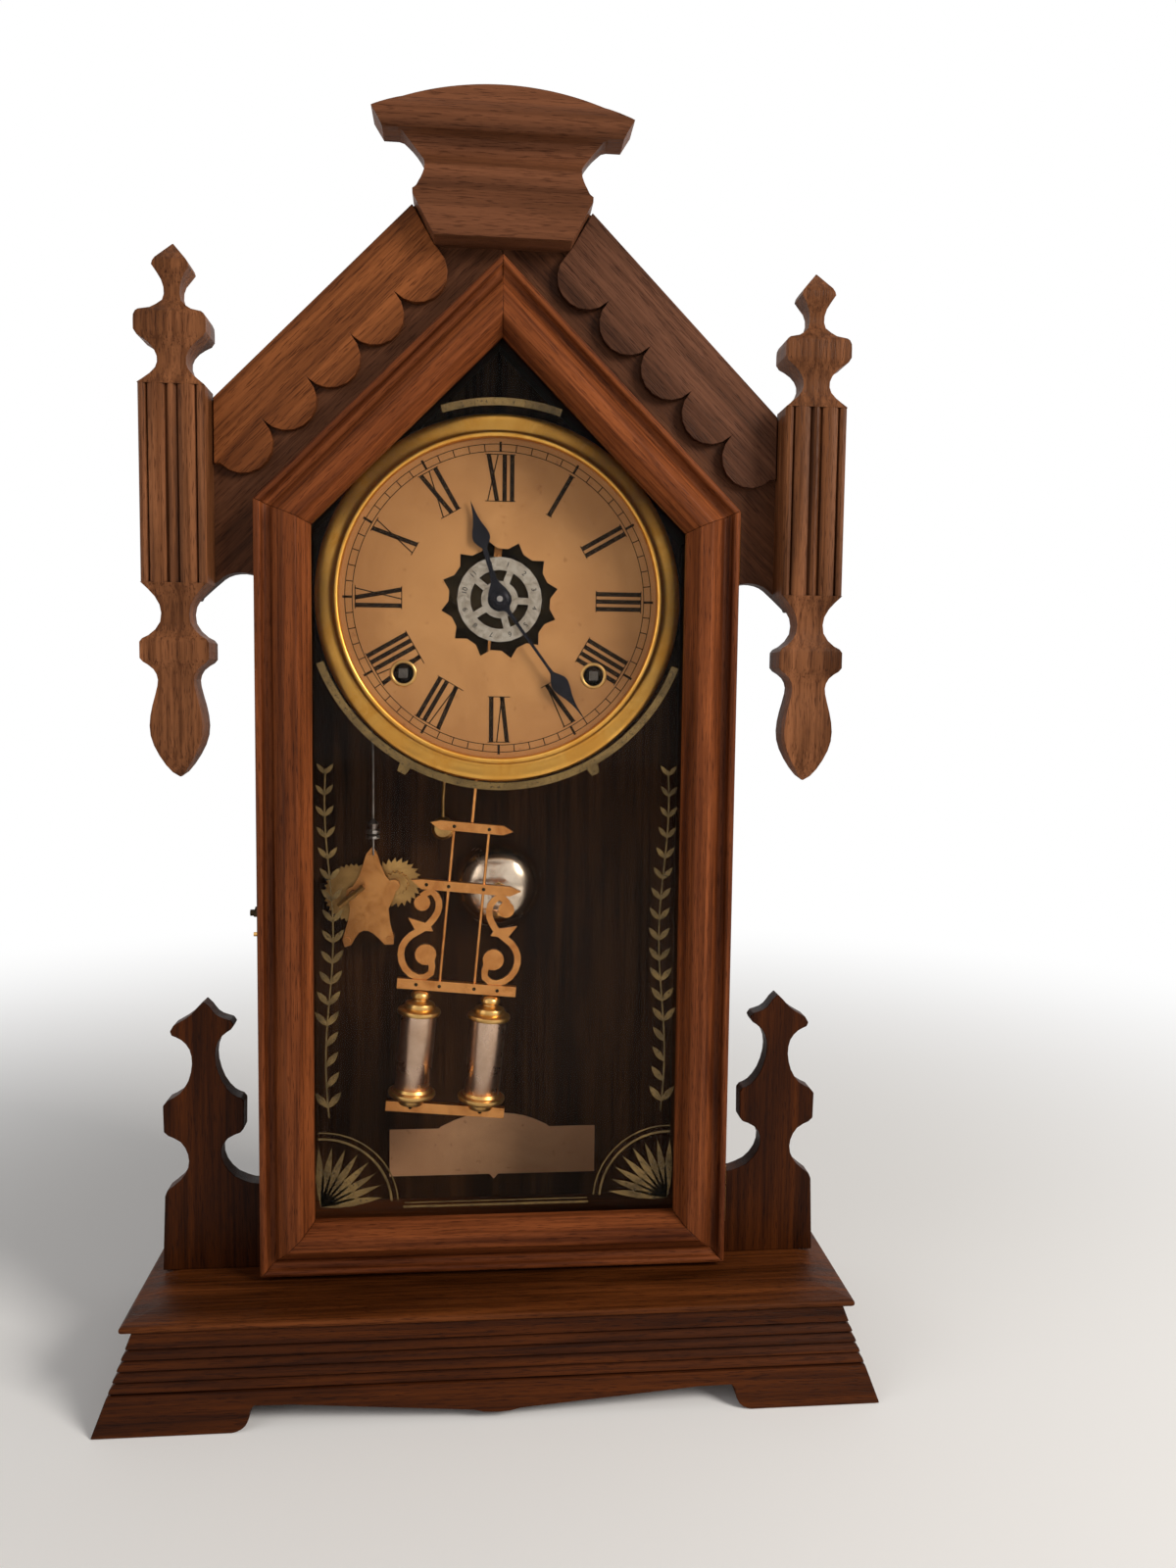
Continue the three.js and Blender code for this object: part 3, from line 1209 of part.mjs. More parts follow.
// ---------------------------------------------------------- bell and alarm
{
  // Bell section: radius against distance in front of the mouth; the wall thins towards it.
  const mouth = BACK_BOARD_FRONT - BELL_MOUTH;
  const crown = BELL_DEPTH;
  const outside = curve([[2.4, crown], [10, 13.2], [16.4, 9.6], [19.6, 4.4], [BELL_RADIUS, 0]], 5);
  const inside = curve([[BELL_RADIUS - 1.2, 0], [18.4, 4.1], [15.5, 8.6], [9.6, 12], [2.4, 13]], 5);
  const bell = [...outside, ...inside, outside[0]].map(([radius, depth]) => [radius, mouth - depth]);
  add("bell", turned(bell, ...BELL, 20), NICKEL);
  const bell_front = mouth - crown;
  add(
    "bell_post",
    union(
      pin(...BELL, 1.9, bell_front - 1.6, bell_front + 1.8, 12),
      pin(...BELL, 3.4, bell_front - 1.8, bell_front - 0.2, 6),
      pin(...BELL, 3, bell_front + 1.5, BACK_BOARD_FRONT - BOARD_GAP, 12),
    ),
    BRASS,
  );

  // Alarm: bell-shaped plate on three pillars, winding wheel and strike wheel behind it.
  const [winder_x, winder_z] = WINDER;
  const fromWinder = (points) => points.map(([across, up]) => [winder_x + across, winder_z + up]);
  const plate = fromWinder([
    [8.9, 22],
    [5.9, 18.4],
    ...curve([[5.1, 16], [2.7, 8.6], [-1.5, 1.6]], 4),
    ...curve([[-2.1, -3], [-1.7, -9], [-4.9, -21]], 5),
    [-3.9, -24.4],
    ...curve([[-0.9, -23.4], [2.1, -18.2], [5.7, -16.8], [9.5, -18.6], [14.1, -23.4]], 7),
    [18.1, -23.2],
    ...curve(
      [[18.3, -20], [15.7, -8], [18.9, -0.4], [18.1, 3.6], [13.9, 9.2], [11.1, 17.4]],
      9,
    ),
  ]);
  const plate_depth = [ALARM_PLATE_FRONT, ALARM_PLATE_FRONT + 1];
  const pillars = fromWinder([[8.7, 17], [16.3, -21], [-2.9, -21.4]]).map(([x, z]) =>
    pin(x, z, 1.7, ALARM_PLATE_FRONT - 0.7, BACK_BOARD_FRONT - BOARD_GAP, 10),
  );
  const [striker_x, striker_z] = STRIKER;
  const alarm_plate = union(
    frontBoard(plate, ...plate_depth),
    frontBoard(circle(winder_x, winder_z, 3.4, 16), ...plate_depth),
    frontBoard(circle(striker_x - 1, striker_z - 0.6, 2.8, 12), ...plate_depth),
    ...pillars,
  ).subtract(pin(winder_x, winder_z, 1.9, ALARM_PLATE_FRONT - 2, ALARM_PLATE_FRONT + 2.4));
  add("alarm_plate", alarm_plate, BRASS);

  // Winding wheel with its thumb piece, and the pointed wheel that it drives.
  const wheel_front = ALARM_PLATE_FRONT + 2.8;
  const board_pivot = BACK_BOARD_FRONT - SIDE_GAP;
  const thumb_y = ALARM_PLATE_FRONT - 4.4;
  const winding = union(
    pin(winder_x, winder_z, 1.6, ALARM_PLATE_FRONT - 5, board_pivot),
    frontBoard(toothed(winder_x, winder_z, 36, 12.3, 13.6), wheel_front, wheel_front + 1),
    wire(
      [
        [winder_x + 5.1, thumb_y + 0.2, winder_z + 4.2],
        [winder_x, thumb_y, winder_z],
        [winder_x - 5.9, thumb_y - 0.2, winder_z - 4.8],
      ],
      1.3,
      4,
    ),
  );
  add("alarm_winding_wheel", winding, STEEL);
  const star_front = ALARM_PLATE_FRONT + 5;
  const pinion = toothed(striker_x, striker_z, 15, 4.6, 5.7);
  add(
    "alarm_strike_wheel",
    union(
      pin(striker_x, striker_z, 0.9, ALARM_PLATE_FRONT + 1.1, board_pivot),
      frontBoard(toothed(striker_x, striker_z, 24, 9.4, 11.6, 0.2), star_front, star_front + 1),
      frontBoard(pinion, wheel_front - 0.2, star_front + 0.1),
    ),
    BRASS,
  );

  // Trip wire from the alarm work up beside the movement, with a collar at its foot.
  const trip_x = winder_x + 9.1;
  const trip_y = BACK_PLATE - 1.7;
  const trip = wire(
    [
      [trip_x, trip_y, winder_z + 18],
      [trip_x, trip_y, winder_z + 35],
      [trip_x, trip_y, winder_z + 63],
      [trip_x, trip_y, winder_z + 89],
      [trip_x + 6.4, trip_y, winder_z + 93],
    ],
    0.5,
    10,
  );
  const collar = [
    [0, 25.6],
    [3, 25.6],
    [3, 26.8],
    [1.4, 27.4],
    [3, 28],
    [3, 29.4],
    [1.8, 30],
    [2.5, 32.4],
    [0, 35],
  ].map(([radius, up]) => [radius, winder_z + up]);
  add("alarm_trip_wire", union(trip, turnedUpright(collar, trip_x, trip_y, 10)), BRASS);

  // Paper label pasted on the back board, arched over its middle.
  const label = [
    [-49, 2.4],
    [-2, 2.4],
    [0, 0],
    [2, 2.4],
    [48, 2.4],
    [48, 25],
    [26, 25],
    ...curve([[25, 26], [14, 30.6], [0, 32.2], [-14, 30.6], [-25, 26]], 12),
    [-26, 25],
    [-49, 25],
  ].map(([x, up]) => [x, TOP_SURFACE + LABEL_RISE - 2.4 + up]);
  const label_back = BACK_BOARD_FRONT - BOARD_GAP;
  add("label", frontBoard(label, label_back - 0.3, label_back), LABEL);
}

export default clock;
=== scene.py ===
# %% [markdown]
# A gabled walnut shelf clock, dressed for its portrait.
# The measured solids of the clock are loaded first. They hold every size and every moving part, so
# the rest of this script only gives them their finish: wood, brass, nickel, paper, glass and gilding.

# %% Load the measured clock
import json
import math

import bmesh
import bpy
from mathutils import Matrix, Vector

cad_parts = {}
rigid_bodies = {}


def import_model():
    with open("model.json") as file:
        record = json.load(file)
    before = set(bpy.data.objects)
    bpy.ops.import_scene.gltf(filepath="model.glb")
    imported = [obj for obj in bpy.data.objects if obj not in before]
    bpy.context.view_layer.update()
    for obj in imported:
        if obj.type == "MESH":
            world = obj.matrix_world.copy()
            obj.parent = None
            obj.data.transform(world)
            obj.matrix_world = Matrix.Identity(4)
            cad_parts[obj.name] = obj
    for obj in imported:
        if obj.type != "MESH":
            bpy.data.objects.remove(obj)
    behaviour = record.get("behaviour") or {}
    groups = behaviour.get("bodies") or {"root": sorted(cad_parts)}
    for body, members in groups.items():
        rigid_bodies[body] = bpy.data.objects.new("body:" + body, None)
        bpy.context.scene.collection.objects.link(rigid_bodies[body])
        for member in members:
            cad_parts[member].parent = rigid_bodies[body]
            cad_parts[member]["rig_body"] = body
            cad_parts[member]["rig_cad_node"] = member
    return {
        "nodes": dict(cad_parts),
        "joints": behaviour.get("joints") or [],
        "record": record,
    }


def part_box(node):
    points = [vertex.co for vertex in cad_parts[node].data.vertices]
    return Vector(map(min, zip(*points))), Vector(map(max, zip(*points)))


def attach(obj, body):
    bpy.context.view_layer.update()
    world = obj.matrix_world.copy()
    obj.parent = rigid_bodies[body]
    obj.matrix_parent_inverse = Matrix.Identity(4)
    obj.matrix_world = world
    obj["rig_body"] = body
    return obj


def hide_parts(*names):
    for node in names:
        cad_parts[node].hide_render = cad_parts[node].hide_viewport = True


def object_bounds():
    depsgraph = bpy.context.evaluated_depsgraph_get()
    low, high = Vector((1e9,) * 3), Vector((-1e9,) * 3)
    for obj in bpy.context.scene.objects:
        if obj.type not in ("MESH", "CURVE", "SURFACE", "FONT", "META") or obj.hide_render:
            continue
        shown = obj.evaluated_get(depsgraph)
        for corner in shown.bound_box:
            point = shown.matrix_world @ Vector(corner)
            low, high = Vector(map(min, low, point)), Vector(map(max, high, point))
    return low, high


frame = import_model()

CAD_LOW, CAD_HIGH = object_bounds()
MM = 0.001
print("clock measures", [round(c, 4) for c in CAD_HIGH - CAD_LOW], "m")

# %% [markdown]
# The camera comes next, because the whole portrait is judged through it. It stands half a metre in
# front of the clock, a little left of the middle and just above the door's centre, and looks slightly
# down. A camera can be placed by eye, but this one was worked out from the straight edges of the case,
# so that the rendered case lies on the photographed one. Its angles are in radians.

# %% Camera
CAMERA_PLACE = Vector((-9.84, -490.3, 280.5)) * MM
CAMERA_ROLL = 0.0128
CAMERA_PITCH = 0.0798
CAMERA_YAW = -0.0963
FOCAL_PIXELS = 1198.1
IMAGE_HEIGHT = 1600
SENSOR = 36.0
NEAREST_SEEN = 0.01
FARTHEST_SEEN = 50


def camera_rotation():
    """Rows are the camera's right, down and forward directions in the clock's frame."""
    roll = Matrix.Rotation(CAMERA_ROLL, 3, "Z")
    pitch = Matrix.Rotation(CAMERA_PITCH, 3, "X")
    yaw = Matrix.Rotation(CAMERA_YAW, 3, "Y")
    facing = Matrix(((1, 0, 0), (0, 0, -1), (0, 1, 0)))
    return roll @ pitch @ yaw @ facing


right, down, forward = camera_rotation()
bpy.ops.object.camera_add(location=CAMERA_PLACE)
camera = bpy.context.object
camera.name = "portrait_camera"
camera.data.sensor_width = SENSOR
camera.data.lens = FOCAL_PIXELS / IMAGE_HEIGHT * SENSOR
camera.data.clip_start = NEAREST_SEEN
camera.data.clip_end = FARTHEST_SEEN
camera.rotation_euler = Matrix((right, -down, -forward)).transposed().to_euler()
bpy.context.scene.camera = camera
print("camera lens", round(camera.data.lens, 2), "mm")

# %% [markdown]
# The clock stands on a plain pale floor. Close to the clock the floor keeps its shadow, and further
# out it fades into the plain white of the background. A curved backdrop could do that too, but it
# would need lamps of its own. Here the paint is mixed with white light, more of it with the distance
# from the clock, and only for the eye, so that the white lights nothing.

# %% Floor
FLOOR_SIZE = 8.0
FLOOR_HEIGHT = -0.0002
FLOOR_COLOUR = (0.88, 0.9, 0.93)
FADE_START = 0.24
FADE_END = 0.95


def clear_selection():
    bpy.ops.object.select_all(action="DESELECT")


def new_material(name):
    """A material, its node tree and its Principled shader."""
    material = bpy.data.materials.new(name)
    material.use_nodes = True
    tree = material.node_tree
    return material, tree, tree.nodes["Principled BSDF"]


def object_place(tree):
    """Coordinates that stay with the piece when it moves."""
    return tree.nodes.new("ShaderNodeTexCoord").outputs["Object"]


def vector_length(tree, vector):
    length = tree.nodes.new("ShaderNodeVectorMath")
    length.operation = "LENGTH"
    tree.links.new(vector, length.inputs[0])
    return length.outputs["Value"]


def combine(tree, operation, first, second):
    node = tree.nodes.new("ShaderNodeMath")
    node.operation = operation
    tree.links.new(first, node.inputs[0])
    tree.links.new(second, node.inputs[1])
    return node.outputs["Value"]


floor_paint, tree, floor_shader = new_material("pale_floor")
floor_shader.inputs["Base Color"].default_value = (*FLOOR_COLOUR, 1)
floor_shader.inputs["Roughness"].default_value = 0.9
far = tree.nodes.new("ShaderNodeMapRange")
far.interpolation_type = "SMOOTHSTEP"
far.inputs["From Min"].default_value = FADE_START
far.inputs["From Max"].default_value = FADE_END
tree.links.new(vector_length(tree, object_place(tree)), far.inputs["Value"])
ray = tree.nodes.new("ShaderNodeLightPath")
seen_far_out = combine(tree, "MULTIPLY", far.outputs["Result"], ray.outputs["Is Camera Ray"])
white_light = tree.nodes.new("ShaderNodeEmission")
fade = tree.nodes.new("ShaderNodeMixShader")
tree.links.new(seen_far_out, fade.inputs["Fac"])
tree.links.new(floor_shader.outputs["BSDF"], fade.inputs[1])
tree.links.new(white_light.outputs["Emission"], fade.inputs[2])
tree.links.new(fade.outputs["Shader"], tree.nodes["Material Output"].inputs["Surface"])

clear_selection()
bpy.ops.mesh.primitive_plane_add(size=FLOOR_SIZE, location=(0, 0, FLOOR_HEIGHT))
floor = bpy.context.object
floor.name = "floor"
floor.data.materials.append(floor_paint)
print("floor fades from", FADE_START, "to", FADE_END, "m")

# %% [markdown]
# Two area lamps give plain studio light, with softer shadows than a sun or a point lamp would. The
# smaller one, high on the right and in front, lays the warm sheen on the mouldings that face it. The
# wide, weak one on the left opens the shadows. A lamp shines along its own -Z axis, so that axis is
# turned towards the middle of the clock.

# %% Lamps
CLOCK_MIDDLE = (0, 0, 0.25)


def soft_lamp(name, place, size, watts, colour):
    bpy.ops.object.light_add(type="AREA", location=place)
    lamp = bpy.context.object
    lamp.name = name
    lamp.data.size = size
    lamp.data.energy = watts
    lamp.data.color = colour
    aim = Vector(CLOCK_MIDDLE) - Vector(place)
    lamp.rotation_euler = aim.to_track_quat("-Z", "Y").to_euler()
    print(name, watts, "W")


soft_lamp("key_lamp", (1.2, -0.95, 0.95), 0.6, 26, (1.0, 0.93, 0.84))
soft_lamp("fill_lamp", (-1.3, -0.8, 0.6), 1.2, 6, (1.0, 0.95, 0.9))

# %% [markdown]
# The world lights the wood gently from all round, but the eye has to see plain white behind the
# clock, polished metal has to mirror that white, and glass has to let it through. Light Path tells
# these three kinds of ray from the others, and a mix shader gives them the white background.

# %% World
AMBIENT_COLOUR = (1.0, 0.95, 0.89)
AMBIENT_STRENGTH = 0.32

world = bpy.data.worlds.new("pale_room")
bpy.context.scene.world = world
world.use_nodes = True
tree = world.node_tree
ambient = tree.nodes["Background"]
ambient.inputs["Color"].default_value = (*AMBIENT_COLOUR, 1)
ambient.inputs["Strength"].default_value = AMBIENT_STRENGTH
plain_white = tree.nodes.new("ShaderNodeBackground")
plain_white.inputs["Color"].default_value = (1, 1, 1, 1)
plain_white.inputs["Strength"].default_value = 1.0
ray = tree.nodes.new("ShaderNodeLightPath")
mirrored = ray.outputs["Is Glossy Ray"]
seen_or_mirrored = combine(tree, "MAXIMUM", ray.outputs["Is Camera Ray"], mirrored)
any_of_three = combine(tree, "MAXIMUM", seen_or_mirrored, ray.outputs["Is Transmission Ray"])
chooser = tree.nodes.new("ShaderNodeMixShader")
tree.links.new(any_of_three, chooser.inputs["Fac"])
tree.links.new(ambient.outputs["Background"], chooser.inputs[1])
tree.links.new(plain_white.outputs["Background"], chooser.inputs[2])
tree.links.new(chooser.outputs["Shader"], tree.nodes["World Output"].inputs["Surface"])
bpy.context.scene.view_settings.view_transform = "Standard"
print("world", world.name, "lights at", AMBIENT_STRENGTH)

# %% [markdown]
# Grain, tarnish and stains could be pictures wrapped round each piece, but a picture has seams and
# blurs when the camera comes close. Noise is worked out at every point of the solid, so it runs on
# round each corner as real grain does. A mapping in front of it stretches it along one axis.

# %% Noise
def stretched_noise(tree, source, cells, detail, distortion):
    """Noise with this many cells in a metre along X, Y and Z."""
    stretch = tree.nodes.new("ShaderNodeMapping")
    stretch.inputs["Scale"].default_value = cells
    noise = tree.nodes.new("ShaderNodeTexNoise")
    noise.inputs["Scale"].default_value = 1.0
    noise.inputs["Detail"].default_value = detail
    noise.inputs["Roughness"].default_value = 0.6
    noise.inputs["Distortion"].default_value = distortion
    tree.links.new(source, stretch.inputs["Vector"])
    tree.links.new(stretch.outputs["Vector"], noise.inputs["Vector"])
    return noise.outputs["Fac"]


def even_noise(tree, source, cells, detail, distortion):
    return stretched_noise(tree, source, (cells, cells, cells), detail, distortion)


print("noise can be stretched or even")

# %% [markdown]
# A noise is only a number at each point. A ramp gives it colours, a range turns it into a mask or a
# roughness, a mix lays one colour over another, and a bump lets it catch the light. With a helper for
# each, a recipe reads as a list of its layers.

# %% From noise to colour and relief
def colour_ramp(tree, source, stops):
    ramp = tree.nodes.new("ShaderNodeValToRGB")
    while len(ramp.color_ramp.elements) < len(stops):
        ramp.color_ramp.elements.new(0.5)
    for element, (position, colour) in zip(ramp.color_ramp.elements, stops):
        element.position = position
        element.color = (*colour, 1)
    tree.links.new(source, ramp.inputs["Fac"])
    return ramp.outputs["Color"]


def value_range(tree, source, low, high, to_low, to_high):
    remap = tree.nodes.new("ShaderNodeMapRange")
    remap.inputs["From Min"].default_value = low
    remap.inputs["From Max"].default_value = high
    remap.inputs["To Min"].default_value = to_low
    remap.inputs["To Max"].default_value = to_high
    tree.links.new(source, remap.inputs["Value"])
    return remap.outputs["Result"]


def blend_colours(tree, mode, amount, first, second):
    """The amount is a number or a mask, and the second colour a colour or a pattern."""
    mix = tree.nodes.new("ShaderNodeMix")
    mix.data_type = "RGBA"
    mix.blend_type = mode
    if isinstance(amount, float):
        mix.inputs["Factor"].default_value = amount
    else:
        tree.links.new(amount, mix.inputs["Factor"])
    tree.links.new(first, mix.inputs["A"])
    if isinstance(second, tuple):
        mix.inputs["B"].default_value = (*second, 1)
    else:
        tree.links.new(second, mix.inputs["B"])
    return mix.outputs["Result"]


def add_bump(tree, source, strength, distance, shader):
    bump = tree.nodes.new("ShaderNodeBump")
    bump.inputs["Strength"].default_value = strength
    bump.inputs["Distance"].default_value = distance
    tree.links.new(source, bump.inputs["Height"])
    tree.links.new(bump.outputs["Normal"], shader.inputs["Normal"])


print("helpers for ramps, ranges, mixes and bumps")

# %% [markdown]
# Nearly everything seen is walnut. Open-grained walnut has three things that the eye reads: broad
# darker and lighter bands that run along the board, fine growth lines between them, and short dark
# pores. Each is a noise pattern that is stretched along the grain. The boards run different ways, so
# the same recipe is turned for upright stiles, level rails, the two slopes of the gable and the
# mouldings that run from front to back. Old varnish gives a soft sheen that breaks up over the pores.
# Every groove and hollow is darkened, partly as settled dirt and partly as painted shade, where an
# ambient occlusion node finds it from the piece's shape.

# %% A walnut recipe
# Degrees by which the grain is turned about X, Y and Z.
GRAIN_TURN = {
    "level": (0, 0, 0),
    "upright": (0, 90, 0),
    "rising": (0, 45, 0),
    "falling": (0, -45, 0),
    "deep": (0, 0, 90),
}
BAND_CELLS = (5, 70, 70)
LINE_CELLS = (12, 620, 620)
PORE_CELLS = (150, 2400, 2400)
LINE_SHADE = (0.42, 0.37, 0.33)
PORE_SHADE = (0.3, 0.24, 0.2)
PORE_DEPTH = 0.0002
# Colour and reach of the darkening in hollows: painted shade that also stands for settled dirt.
GRIME_AND_SHADE_COLOUR = (0.26, 0.2, 0.16)
GRIME_AND_SHADE_REACH = 0.006
VARNISH_ROUGHNESS = 0.42


def along_the_grain(tree, lean):
    """Object coordinates turned so that X runs along the grain."""
    turn = tree.nodes.new("ShaderNodeMapping")
    turn.inputs["Rotation"].default_value = [math.radians(angle) for angle in GRAIN_TURN[lean]]
    tree.links.new(object_place(tree), turn.inputs["Vector"])
    return turn.outputs["Vector"]


def walnut(name, dark, light, streaks, lean):
    material, tree, shader = new_material(name)
    grain = along_the_grain(tree, lean)
    bands = stretched_noise(tree, grain, BAND_CELLS, 3, 0.8)
    lines = stretched_noise(tree, grain, LINE_CELLS, 2, 0.2)
    pores = stretched_noise(tree, grain, PORE_CELLS, 1, 0.0)
    middle = tuple((d + l) / 2 for d, l in zip(dark, light))
    figure = colour_ramp(tree, bands, [(0.34, dark), (0.5, middle), (0.66, light)])
    growth = colour_ramp(tree, lines, [(0.36, LINE_SHADE), (0.58, (1, 1, 1))])
    lined = blend_colours(tree, "MULTIPLY", streaks, figure, growth)
    pore_mask = value_range(tree, pores, 0.56, 0.68, 0.0, 0.7)
    porous = blend_colours(tree, "MULTIPLY", pore_mask, lined, PORE_SHADE)
    # Painted shade and dirt: ambient occlusion darkens every groove and hollow of the piece.
    hollows = tree.nodes.new("ShaderNodeAmbientOcclusion")
    hollows.only_local = True
    hollows.samples = 8
    hollows.inputs["Distance"].default_value = GRIME_AND_SHADE_REACH
    grime_and_shade = value_range(tree, hollows.outputs["AO"], 0.45, 0.9, 0.85, 0.0)
    grimed_and_shaded = blend_colours(tree, "MULTIPLY", grime_and_shade, porous, GRIME_AND_SHADE_COLOUR)
    tree.links.new(grimed_and_shaded, shader.inputs["Base Color"])
    glossiest, dullest = VARNISH_ROUGHNESS - 0.06, VARNISH_ROUGHNESS + 0.12
    sheen = value_range(tree, bands, 0.3, 0.7, glossiest, dullest)
    tree.links.new(sheen, shader.inputs["Roughness"])
    shader.inputs["Specular IOR Level"].default_value = 0.08
    open_pores = value_range(tree, pores, 0.52, 0.7, 1.0, 0.0)
    add_bump(tree, open_pores, 0.35, PORE_DEPTH, shader)
    return material


print("grain can run", ", ".join(GRAIN_TURN))

# %% [markdown]
# Boards of one clock never match. The door has a red varnish, the base has darkened most, the two
# bargeboards have aged apart, and inside the case the wood stayed dull. The top board of the base is
# given a lighter tone than the rest of the base, as painted light for the light that falls on its top.
# So each part has a tone: the dark and the light colour of its bands, and how far its growth lines
# show.

# %% Walnut tones
WALNUT_TONES = {
    "case": ((0.06, 0.02, 0.007), (0.175, 0.064, 0.025), 0.75),
    "facade": ((0.052, 0.019, 0.0085), (0.142, 0.055, 0.026), 0.6),
    "crest": ((0.088, 0.032, 0.0135), (0.158, 0.059, 0.027), 0.35),
    "column": ((0.08, 0.028, 0.0095), (0.235, 0.09, 0.036), 0.75),
    "door": ((0.075, 0.018, 0.005), (0.24, 0.067, 0.019), 0.75),
    "barge_left": ((0.1, 0.03, 0.009), (0.25, 0.08, 0.024), 0.6),
    "barge_right": ((0.062, 0.025, 0.013), (0.15, 0.062, 0.034), 0.6),
    "base": ((0.02, 0.0045, 0.0006), (0.07, 0.017, 0.0025), 0.75),
    # Painted light: the base's top board is lighter than the base below it, for the light on its top.
    "shelf": ((0.042, 0.011, 0.002), (0.13, 0.036, 0.008), 0.75),
    "inside": ((0.024, 0.009, 0.003), (0.08, 0.032, 0.011), 0.75),
}
woods = {}


def walnut_for(tone, lean):
    """One material for each tone and direction of the grain, made when it is first asked for."""
    key = f"walnut_{tone}_{lean}"
    if key not in woods:
        woods[key] = walnut(key, *WALNUT_TONES[tone], lean)
    return woods[key]


print("walnut tones", sorted(WALNUT_TONES))

# %% [markdown]
# A measured solid comes in as loose triangles, which no bevel can work on, and it has to stay as it
# is, because the moving parts are checked against it. So a copy is made, its triangles are merged and
# its flat faces joined. The copy later stands for the solid and rides on the same moving part.

# %% Merged copies of the solids
MERGE_DISTANCE = 0.00001
FLAT_ANGLE = 0.5
body_of_node = {
    node: body for body, nodes in frame["record"]["behaviour"]["bodies"].items() for node in nodes
}


def select_only(piece):
    clear_selection()
    piece.select_set(True)
    bpy.context.view_layer.objects.active = piece


def merged_copy(node):
    select_only(frame["nodes"][node])
    bpy.ops.object.duplicate()
    piece = bpy.context.object
    piece.name = node + "_finished"
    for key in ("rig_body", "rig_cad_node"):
        if key in piece:
            del piece[key]
    piece.parent = None
    piece.matrix_world = Matrix.Identity(4)
    piece.data.materials.clear()
    bpy.ops.object.mode_set(mode="EDIT")
    bpy.ops.mesh.select_all(action="SELECT")
    bpy.ops.mesh.remove_doubles(threshold=MERGE_DISTANCE)
    bpy.ops.mesh.dissolve_limited(angle_limit=math.radians(FLAT_ANGLE))
    bpy.ops.object.mode_set(mode="OBJECT")
    return piece


# %% [markdown]
# A sawn and moulded piece never has knife edges: sanding and a century of dusting round them.
# Subdividing would round them too, but it would melt the mouldings. A bevel that is limited by angle
# finds the true edges and leaves the rest. Weighted normals then keep the light even on the flats
# beside it, which smooth shading alone would make look pillowed.

# %% Worn edges and even light
WORN_ANGLE = 28
SMOOTH_ANGLE = 32


def apply_modifier(piece, modifier):
    bpy.context.view_layer.objects.active = piece
    bpy.ops.object.modifier_apply(modifier=modifier.name)


def wear_edges(piece, width):
    bevel = piece.modifiers.new("worn_edges", "BEVEL")
    bevel.width = width * MM
    bevel.segments = 2
    bevel.limit_method = "ANGLE"
    bevel.angle_limit = math.radians(WORN_ANGLE)
    bevel.use_clamp_overlap = True
    apply_modifier(piece, bevel)


def smooth(piece, angle=SMOOTH_ANGLE):
    select_only(piece)
    bpy.ops.object.shade_smooth_by_angle(angle=math.radians(angle))


def even_light(piece):
    weighted = piece.modifiers.new("even_light", "WEIGHTED_NORMAL")
    weighted.keep_sharp = True
    apply_modifier(piece, weighted)


def dress(node, material, edge, reshape=None):
    """Replaces a measured solid by its finished copy, with edges worn by this many millimetres."""
    piece = merged_copy(node)
    if reshape:
        reshape(piece)
    wear_edges(piece, edge)
    smooth(piece)
    even_light(piece)
    piece.data.materials.append(material)
    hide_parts(node)
    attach(piece, body_of_node[node])
    return piece


print("edges sharper than", WORN_ANGLE, "degrees are worn")

# %% [markdown]
# The table below gives each wooden piece its tone, the way its grain runs, its group of materials and
# the width of its worn edges. The shelf and the broad boards were handled most, so their edges are
# rounder than those of the fine mouldings.

# %% Wooden pieces
WOODEN = [
    ("base_top", "shelf", "level", "dark_walnut", 0.4),
    ("base_front_moulding", "base", "level", "dark_walnut", 0.25),
    ("base_side_moulding_left", "base", "deep", "dark_walnut", 0.25),
    ("base_side_moulding_right", "base", "deep", "dark_walnut", 0.25),
    ("case_side_left", "inside", "upright", "walnut", 0.4),
    ("case_side_right", "inside", "upright", "walnut", 0.4),
    ("case_roof_left", "inside", "rising", "walnut", 0.4),
    ("case_roof_right", "inside", "falling", "walnut", 0.4),
    ("case_back_board", "inside", "upright", "walnut", 0.4),
    ("facade_left", "facade", "rising", "walnut", 0.4),
    ("facade_right", "facade", "falling", "walnut", 0.4),
    ("bargeboard_left", "barge_left", "rising", "door_walnut", 0.4),
    ("bargeboard_right", "barge_right", "falling", "door_walnut", 0.4),
    ("column_left", "column", "upright", "walnut", 0.3),
    ("column_right", "column", "upright", "walnut", 0.3),
    ("wing_left", "base", "upright", "dark_walnut", 0.4),
    ("wing_right", "base", "upright", "dark_walnut", 0.4),
    ("door_bottom_rail", "door", "level", "door_walnut", 0.3),
    ("door_right_stile", "door", "upright", "door_walnut", 0.3),
    ("door_left_stile", "door", "upright", "door_walnut", 0.3),
    ("door_right_gable_rail", "door", "falling", "door_walnut", 0.3),
    ("door_left_gable_rail", "door", "rising", "door_walnut", 0.3),
]
for node, tone, lean, slot, edge in WOODEN:
    dress(node, walnut_for(tone, lean), edge)
print(len(WOODEN), "wooden pieces")

# %% [markdown]
# The top of the crest is one long sawn curve. The solid follows it in a few flats, which would show
# against a pale wall. Building the crest anew would risk its measured mouldings, so its copy is cut
# across every two millimetres, and only the new points on top are lifted to the arc that the flats
# were set out from.

# %% A smooth crown for the crest
CROWN_TOP = round(CAD_HIGH.z / MM, 3)
CROWN_RADIUS = 118.3
CROWN_CUTS = range(-48, 49, 2)
CROWN_ENDS = 498
FACING_UP = 0.7


def select_crown(mesh):
    for face in mesh.faces:
        high = face.calc_center_median().z > CROWN_ENDS * MM
        face.select_set(face.normal.z > FACING_UP and high)
    mesh.select_flush_mode()


